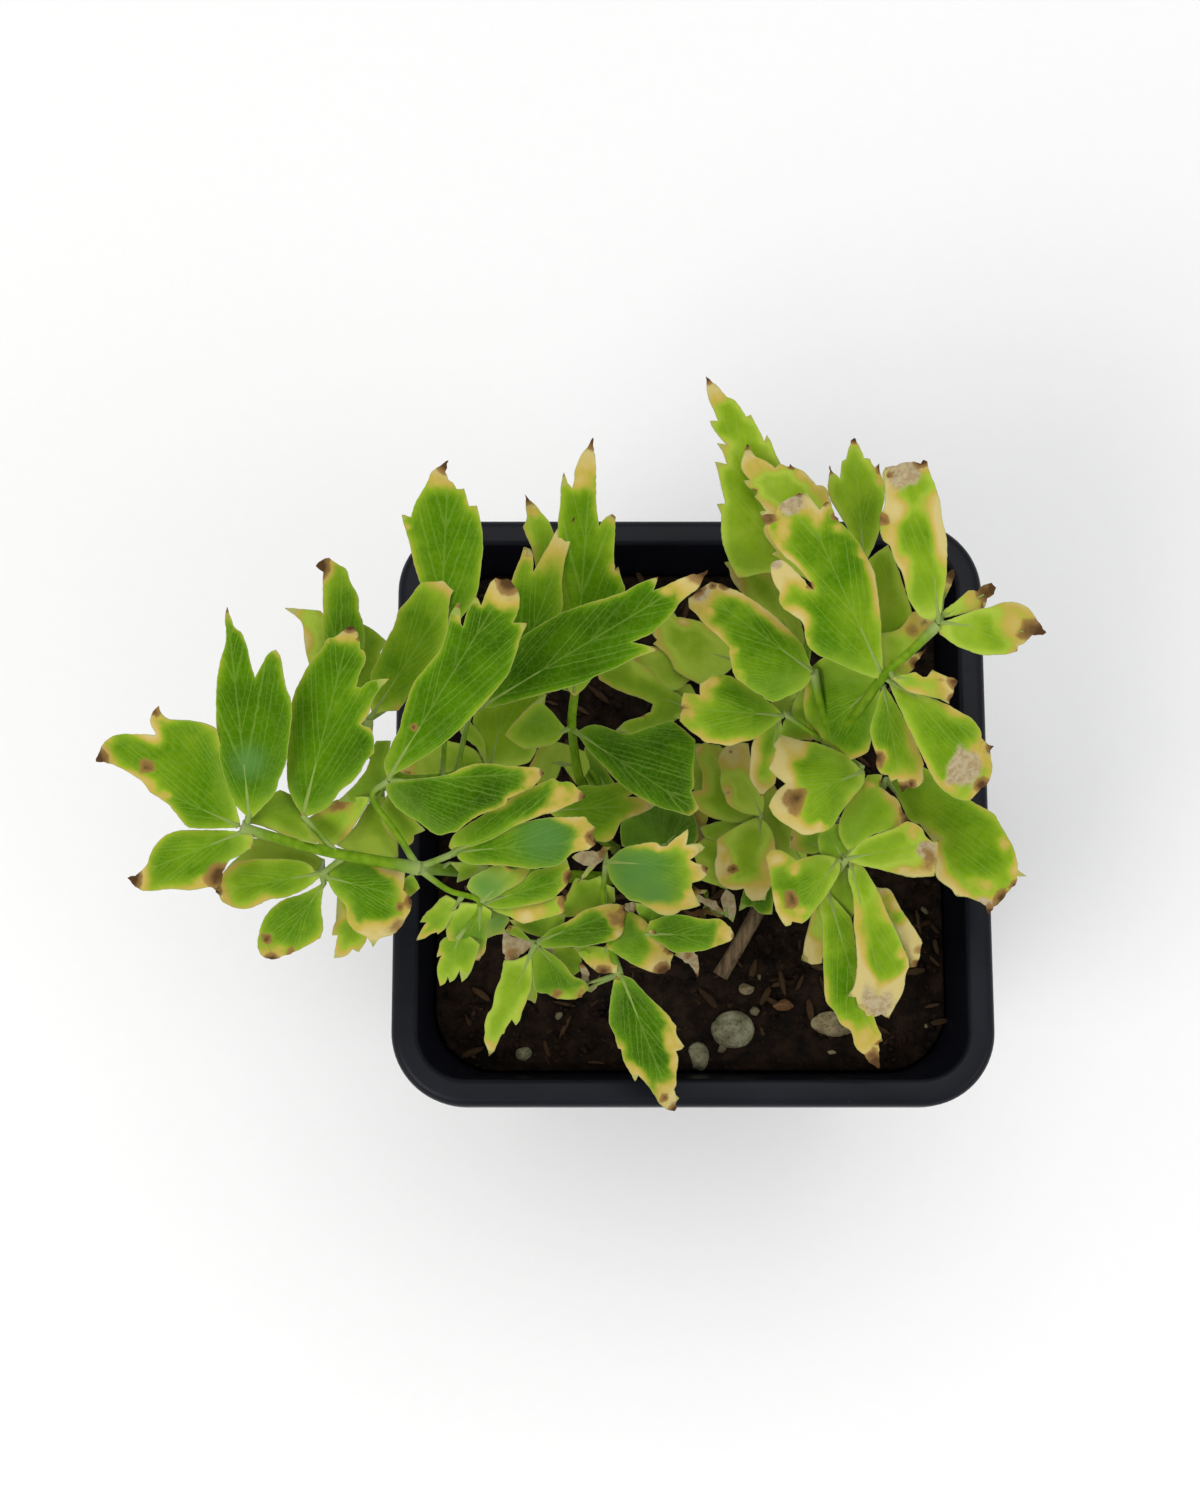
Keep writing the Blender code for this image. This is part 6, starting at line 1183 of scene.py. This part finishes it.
def makePot():
    make = potMake
    lip = potHeight - make["rimDrop"]
    roll, soft, bottomRound = make["lipRoll"], make["innerRoll"], make["baseRoll"]
    sections = []
    for share in np.linspace(0, 1, 5):
        turn = share * math.pi / 2
        inset = bottomRound * (1 - math.sin(turn))
        side = wallSide(bottomRound) - 2 * inset
        sections.append((side, make["baseCorner"] - inset, bottomRound * (1 - math.cos(turn))))
    for height in np.linspace(bottomRound, lip, 14)[1:]:
        sections.append((wallSide(height), wallCorner(height), height))
    sections.append((rimSide - 1.2 * mm, make["rimCorner"] - 0.4 * mm, lip))
    sections.append((rimSide - 0.4 * mm, make["rimCorner"], lip + 0.25 * mm))
    sections.append((rimSide - 0.1 * mm, make["rimCorner"], lip + 0.8 * mm))
    for share in np.linspace(0, 1, 9):
        turn = share * math.pi / 2
        inset = roll * (1 - math.cos(turn))
        sections.append((rimSide - 2 * inset, make["rimCorner"] - inset, potHeight - roll + roll * math.sin(turn)))
    inner = rimSide - 2 * make["rimWidth"]
    innerCorner = make["rimCorner"] - make["rimWidth"]
    for share in np.linspace(0, 1, 7):
        turn = share * math.pi / 2
        inset = soft * (1 - math.sin(turn))
        sections.append((inner + 2 * inset, innerCorner + inset, potHeight - soft + soft * math.cos(turn)))
    for height in np.linspace(lip - 1 * mm, make["floor"] + 1 * mm, 10):
        sections.append((wallSide(height) - 2 * make["wall"], wallCorner(height) - make["wall"], height))
    sections.append((wallSide(make["floor"]) - 2 * make["wall"] - 1 * mm, make["baseCorner"] - make["wall"],
                     make["floor"]))
    rings = [roundedSquare(*section, make["cornerSteps"]) for section in sections]
    verts = np.concatenate(rings)
    pot = meshPiece("potShell", verts, loftFaces(len(rings), len(rings[0])))
    drains = [(sx * make["drainReach"], sy * make["drainReach"], make["drainRadius"])
              for sx in (-1, 1) for sy in (-1, 1)]
    drains += [(math.cos(k * math.pi / 2) * make["drainReach"], math.sin(k * math.pi / 2) * make["drainReach"],
                make["sideDrainRadius"]) for k in range(4)]
    cutter = bmesh.new()
    for x, y, radius in drains:
        made = bmesh.ops.create_cone(cutter, cap_ends=True, segments=40, radius1=radius, radius2=radius,
                                     depth=make["floor"] * 4)
        bmesh.ops.translate(cutter, verts=made["verts"], vec=(x, y, make["floor"] / 2))
    mesh = bpy.data.meshes.new("drainCutter")
    cutter.to_mesh(mesh)
    cutter.free()
    tool = bpy.data.objects.new("drainCutter", mesh)
    bpy.context.scene.collection.objects.link(tool)
    cut = pot.modifiers.new("drains", "BOOLEAN")
    cut.operation = "DIFFERENCE"
    cut.object = tool
    bpy.context.view_layer.update()
    pot.data = bpy.data.meshes.new_from_object(pot.evaluated_get(bpy.context.evaluated_depsgraph_get()))
    pot.modifiers.clear()
    bpy.data.objects.remove(tool, do_unlink=True)
    pot.data.shade_smooth()
    pot.data.set_sharp_from_angle(angle=math.radians(42))
    pot.data.materials.clear()
    pot.data.materials.append(potFinish())
    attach(pot, "root")
    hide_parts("pot")
    return pot


# Soil and stones

soilMake = dict(cornerSteps=70, rows=96, wallGap=0.35, relief=1.4, lump=0.30, clod=1.1, settle=0.35, crumbs=1500,
                grit=70, barkShare=0.16, seed=11)
soilLook = dict(paintedShadeInHollows=(0.0035, 0.0020, 0.0012), crown=(0.0180, 0.0095, 0.0050), fibre=(0.045, 0.026, 0.013),
                bark=((0.018, 0.009, 0.004), (0.075, 0.042, 0.019)),
                grit=((0.070, 0.056, 0.032), (0.190, 0.165, 0.100)))



def soilLevel(x, y):
    broad = noise.noise(Vector((x * 60, y * 60, 3.1)))
    fine = noise.noise(Vector((x * 190, y * 190, 8.4)))
    return potHeight - soilDrop + soilMake["relief"] * mm * (0.8 * broad + 0.6 * fine)


def soilFinish():
    look = soilLook
    soil = Finish("soilMix")
    tone = soil.attribute("tone")
    clod = soil.grain(330, 5, 0.65)
    dust = soil.grain(1700, 4, 0.6)
    # Painted shade: the soil is darker where the clod noise dips into hollows of the bump and lighter on its crowns
    dark = soil.blend(clod.step(0.35, 0.68), look["paintedShadeInHollows"], look["crown"])
    fibre = soil.grain(900, 3, 0.6).step(0.62, 0.70)
    dark = soil.blend(fibre * 0.5, dark, look["fibre"])
    bark = soil.blend(dust, *look["bark"])
    pale = soil.blend(dust, *look["grit"])
    colour = soil.blend(tone.step(0.35, 0.6), dark, bark)
    colour = soil.blend(tone.step(0.8, 0.95), colour, pale)
    return soil.shade(Base_Color=colour, Roughness=0.86 + clod * 0.1, Specular_IOR_Level=0.12,
                      Normal=soil.bump(clod * 0.7 + dust * 0.5, 0.9, 0.0006))


def makeSoil(material):
    make = soilMake
    gap = make["wallGap"] * mm
    wall = potMake["wall"]
    low, level = potMake["floor"] + gap, potHeight - soilDrop
    rings = []
    for height in (low, low + 0.6 * (level - low), level - 3 * mm):
        rings.append(roundedSquare(wallSide(height) - 2 * wall - 2 * gap, wallCorner(height) - wall, height,
                                   make["cornerSteps"]))
    side = wallSide(level) - 2 * wall - 2.4 * gap
    corner = wallCorner(level) - wall
    for share in np.linspace(1, 0.01, make["rows"]):
        ring = roundedSquare(side * share, corner * share, level, make["cornerSteps"])
        for point in ring:
            x, y = point[0], point[1]
            lump = noise.fractal(Vector((x * 420, y * 420, 1.7)), 0.7, 2.1, 4)
            clod = max(0, noise.noise(Vector((x * 240, y * 240, 5.5)))) ** 1.2
            point[2] = soilLevel(x, y) + (make["lump"] * lump + make["clod"] * clod - make["settle"]) * mm
        rings.append(ring)
    verts = np.concatenate(rings)
    soil = meshPiece("soilBed", verts, loftFaces(len(rings), len(rings[0])), {"tone": np.zeros(len(verts))})
    soil.data.materials.append(material)
    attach(soil, "root")
    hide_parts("soil")
    return soil


# A rough lump: a ball pushed about by noise and flattened on a few sides
def lumpMesh(subdivisions, size, seed, rough, cuts, draw):
    ball = bmesh.new()
    bmesh.ops.create_icosphere(ball, subdivisions=subdivisions, radius=1)
    verts = np.array([tuple(v.co) for v in ball.verts])
    faces = [tuple(v.index for v in f.verts) for f in ball.faces]
    ball.free()
    for _ in range(cuts):
        facing = np.array([draw.gauss(0, 1) for _ in range(3)])
        facing /= np.linalg.norm(facing)
        depth = draw.uniform(0.62, 0.9)
        past = np.maximum(verts @ facing - depth, 0)
        verts = verts - past[:, None] * facing * 0.85
    bumps = np.array([noise.fractal(Vector(v * 1.6 + seed * 3.3), 0.8, 2.0, 3) for v in verts])
    verts = verts * (1 + rough * bumps)[:, None] * np.array(size)
    return verts, faces


def turnMatrix(draw):
    axis = np.array([draw.gauss(0, 1) for _ in range(3)])
    axis /= np.linalg.norm(axis)
    angle = draw.uniform(0, 6.28)
    k = np.array(((0, -axis[2], axis[1]), (axis[2], 0, -axis[0]), (-axis[1], axis[0], 0)))
    return np.eye(3) + math.sin(angle) * k + (1 - math.cos(angle)) * k @ k


def makeCrumbs(material):
    make = soilMake
    draw = random.Random(make["seed"])
    side = wallSide(potHeight - soilDrop) - 2 * potMake["wall"] - 1.2 * mm
    verts, faces, tones = [], [], []
    total = 0
    for number in range(make["crumbs"] + make["grit"]):
        x, y = draw.uniform(-side / 2, side / 2), draw.uniform(-side / 2, side / 2)
        if math.hypot(max(abs(x) - side / 2 + 9 * mm, 0), max(abs(y) - side / 2 + 9 * mm, 0)) > 8.4 * mm:
            continue
        grit = number >= make["crumbs"]
        kind = draw.random()
        if grit:
            big = draw.uniform(0.5, 1.25) * mm
            size, tone = (big, big * draw.uniform(0.6, 0.9), big * 0.55), draw.uniform(0.86, 1.0)
        elif kind < make["barkShare"]:
            long = draw.uniform(1.0, 2.6) * mm
            size = (long, long * draw.uniform(0.14, 0.32), long * draw.uniform(0.1, 0.2))
            tone = draw.uniform(0.45, 0.7)
        else:
            big = draw.uniform(0.25, 0.95) * mm
            size, tone = (big, big * draw.uniform(0.6, 1), big * draw.uniform(0.5, 0.8)), draw.uniform(0.0, 0.42)
        lump, lumpFaces = lumpMesh(2 if max(size) > 0.7 * mm else 1, size, number, 0.25, 3, draw)
        spin = turnMatrix(draw)
        if grit or kind < make["barkShare"]:
            flat = draw.uniform(0, 6.28)
            spin = np.array(((math.cos(flat), -math.sin(flat), 0), (math.sin(flat), math.cos(flat), 0), (0, 0, 1)))
        lump = lump @ spin.T + (x, y, soilLevel(x, y) + 0.12 * mm + min(size) * 0.45)
        verts.append(lump)
        faces += [tuple(i + total for i in f) for f in lumpFaces]
        tones.append(np.full(len(lump), tone))
        total += len(lump)
    crumbs = meshPiece("soilCrumbs", np.concatenate(verts), faces, {"tone": np.concatenate(tones)})
    crumbs.data.materials.append(material)
    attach(crumbs, "root")
    return crumbs


soilPerMm = 5.74  # sheet pixels to a mm at the level of the soil
pebbles = {
    "pebbleGreyLarge": dict(node="pebble_grey_large", slot="pebble_grey", at=(733, 1030), size=(42, 36), stands=3.2),
    "pebbleGreySmall": dict(node="pebble_grey_small", slot="pebble_grey", at=(698, 1057), size=(22, 28), stands=2.0),
    "pebbleTanLarge": dict(node="pebble_tan_large", slot="pebble_tan", at=(834, 1024), size=(45, 25), stands=2.6),
    "pebbleTanFlat": dict(node="pebble_tan_flat", slot="pebble_tan", at=(831, 1055), size=(30, 17), stands=1.5),
    "pebbleRust": dict(node="pebble_rust", slot="pebble_brown", at=(783, 1005), size=(21, 12), stands=1.5),
    "pebbleCrumb": dict(node="pebble_crumb", slot="pebble_tan", at=(746, 989), size=(15, 12), stands=1.3),
    "pebbleBrown": dict(node="pebble_brown", slot="pebble_brown", at=(806, 1063), size=(15, 13), stands=1.5),
    "pebbleFrontLeft": dict(node="pebble_front_left", slot="pebble_grey", at=(524, 1054), size=(16, 14), stands=1.6),
}

stoneColours = {
    "pebble_grey": ((0.045, 0.045, 0.026), (0.165, 0.160, 0.090), (0.340, 0.335, 0.220)),
    "pebble_tan": ((0.065, 0.050, 0.024), (0.215, 0.175, 0.092), (0.380, 0.330, 0.200)),
    "pebble_brown": ((0.034, 0.015, 0.007), (0.125, 0.060, 0.023), (0.220, 0.130, 0.062)),
}


def stoneFinish(slot):
    dark, middle, pale = stoneColours[slot]
    stone = Finish("stone_" + slot.split("_")[1])
    broad = stone.grain(330, 5, 0.6)
    fine = stone.grain(2200, 4, 0.7)
    mottle = (broad * 0.75 + fine * 0.25)
    colour = stone.node("ValToRGB", dict(stops=[(0.30, dark), (0.5, middle), (0.72, pale)]), {"Fac": mottle})
    pit = fine.step(0.30, 0.45)
    # Painted shade: the pits of the bump are darkened towards the darkest stone colour
    colour = stone.blend((1 - pit) * 0.6, colour, dark)
    return stone.shade(Base_Color=colour, Roughness=0.75 + fine * 0.15, Specular_IOR_Level=0.15,
                       Normal=stone.bump(pit * 0.6 + broad, 0.6, 0.0003))


def makePebble(name, pebble, material, number):
    foot = sheetPoint(*pebble["at"], -soilDrop / mm)
    draw = random.Random(number + 40)
    wide, deep = (s / soilPerMm * mm / 2 for s in pebble["size"])
    tall = max(pebble["stands"], 1.6) * mm * 0.75
    verts, faces = lumpMesh(5, (wide * 1.02, deep * 1.02, tall), number * 2.3, 0.05, 6, draw)
    verts = verts + (foot.x, foot.y, soilLevel(foot.x, foot.y) + pebble["stands"] * mm * 0.25)
    stone = meshPiece(name, verts, faces)
    stone.data.materials.append(material)
    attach(stone, "root")
    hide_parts(pebble["node"])
    return stone


# The cut end of an old stem, lying on the soil
stub = dict(points=[(758, 908, -13), (754, 918, -9.2), (738, 946, -9.0), (720, 976, -9.8)], thick=2.4,
            dark=(0.050, 0.026, 0.011), pale=(0.190, 0.130, 0.060), stain=(0.020, 0.011, 0.006))


def stubFinish():
    dry = Finish("dryStem")
    streak = dry.grain(1, 4, 0.6, stretch=(1400, 160, 1400))
    patch = dry.grain(500, 4, 0.6)
    colour = dry.blend(streak.step(0.3, 0.7), stub["dark"], stub["pale"])
    colour = dry.blend(patch.step(0.6, 0.75) * 0.6, colour, stub["stain"])
    return dry.shade(Base_Color=colour, Roughness=0.8 + patch * 0.1, Normal=dry.bump(streak, 0.8, 0.0004))


def makeStub():
    route = rootedRoute(stub["points"])
    piece = meshPiece("dryStub", *makeStem(route, stub["thick"], stub["thick"] * 1.05, swell=0.2), sharp=50)
    piece.data.materials.append(stubFinish())
    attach(piece, "root")
    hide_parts("dry_stub")
    return piece


# Floor, light and camera

studio = dict(floor=4.0, floorColours=((0.86, 0.86, 0.86), (0.84, 0.84, 0.84)), sky=(1.0, 1.0, 1.0), skyStrength=0.74)
lamps = {
    "windowLeft": dict(place=(-0.55, -0.50, 0.95), size=0.55, power=5.0, colour=(1.0, 0.99, 0.97)),
    "windowRight": dict(place=(0.70, -0.35, 0.75), size=0.5, power=1.5, colour=(0.95, 0.97, 1.0)),
    "overhead": dict(place=(0.05, 0.35, 1.2), size=0.8, power=2.8, colour=(1.0, 1.0, 1.0)),
}


def makeStudio():
    half = studio["floor"] / 2
    corners = [(-half, -half, 0), (half, -half, 0), (half, half, 0), (-half, half, 0)]
    floor = meshPiece("floor", corners, [(0, 1, 2, 3)])
    paper = Finish("paleFloor")
    grain = paper.grain(300, 3)
    floor.data.materials.append(paper.shade(
        Base_Color=paper.blend(grain, *studio["floorColours"]), Roughness=0.9))
    world = bpy.data.worlds.new("softSky")
    world.use_nodes = True
    world.node_tree.nodes["Background"].inputs["Color"].default_value = (*studio["sky"], 1)
    world.node_tree.nodes["Background"].inputs["Strength"].default_value = studio["skyStrength"]
    bpy.context.scene.world = world
    for name, lamp in lamps.items():
        light = bpy.data.lights.new(name, "AREA")
        light.shape = "DISK"
        light.size = lamp["size"]
        light.energy = lamp["power"]
        light.color = lamp["colour"]
        holder = bpy.data.objects.new(name, light)
        holder.location = lamp["place"]
        aim = Vector((0, 0, 0.1)) - Vector(lamp["place"])
        holder.rotation_euler = aim.to_track_quat("-Z", "Y").to_euler()
        bpy.context.scene.collection.objects.link(holder)


def makeCamera():
    lens = bpy.data.cameras.new("photoCamera")
    lens.sensor_width = photo["sensor"]
    lens.lens = photo["focal"] / photo["longSide"] * photo["sensor"]
    lens.clip_start = 0.01
    lens.clip_end = 20
    camera = bpy.data.objects.new("photoCamera", lens)
    camera.location = eye
    camera.rotation_euler = (photo["tilt"], 0, 0)
    bpy.context.scene.collection.objects.link(camera)
    bpy.context.scene.camera = camera


makeCamera()
makeStudio()
bpy.context.scene.view_settings.view_transform = "Standard"
makePot()
print("pot made")
soilMaterial = soilFinish()
makeSoil(soilMaterial)
makeCrumbs(soilMaterial)
stoneMaterials = {slot: stoneFinish(slot) for slot in stoneColours}
for number, (name, pebble) in enumerate(pebbles.items()):
    makePebble(name, pebble, stoneMaterials[pebble["slot"]], number)
makeStub()
print("soil and stones made")
leafMaterials = [leafFinish(), stemFinish()]
for name, frond in fronds.items():
    piece = makeFrond(name, frond, leafMaterials)
    print(name, len(piece.data.polygons), "faces")
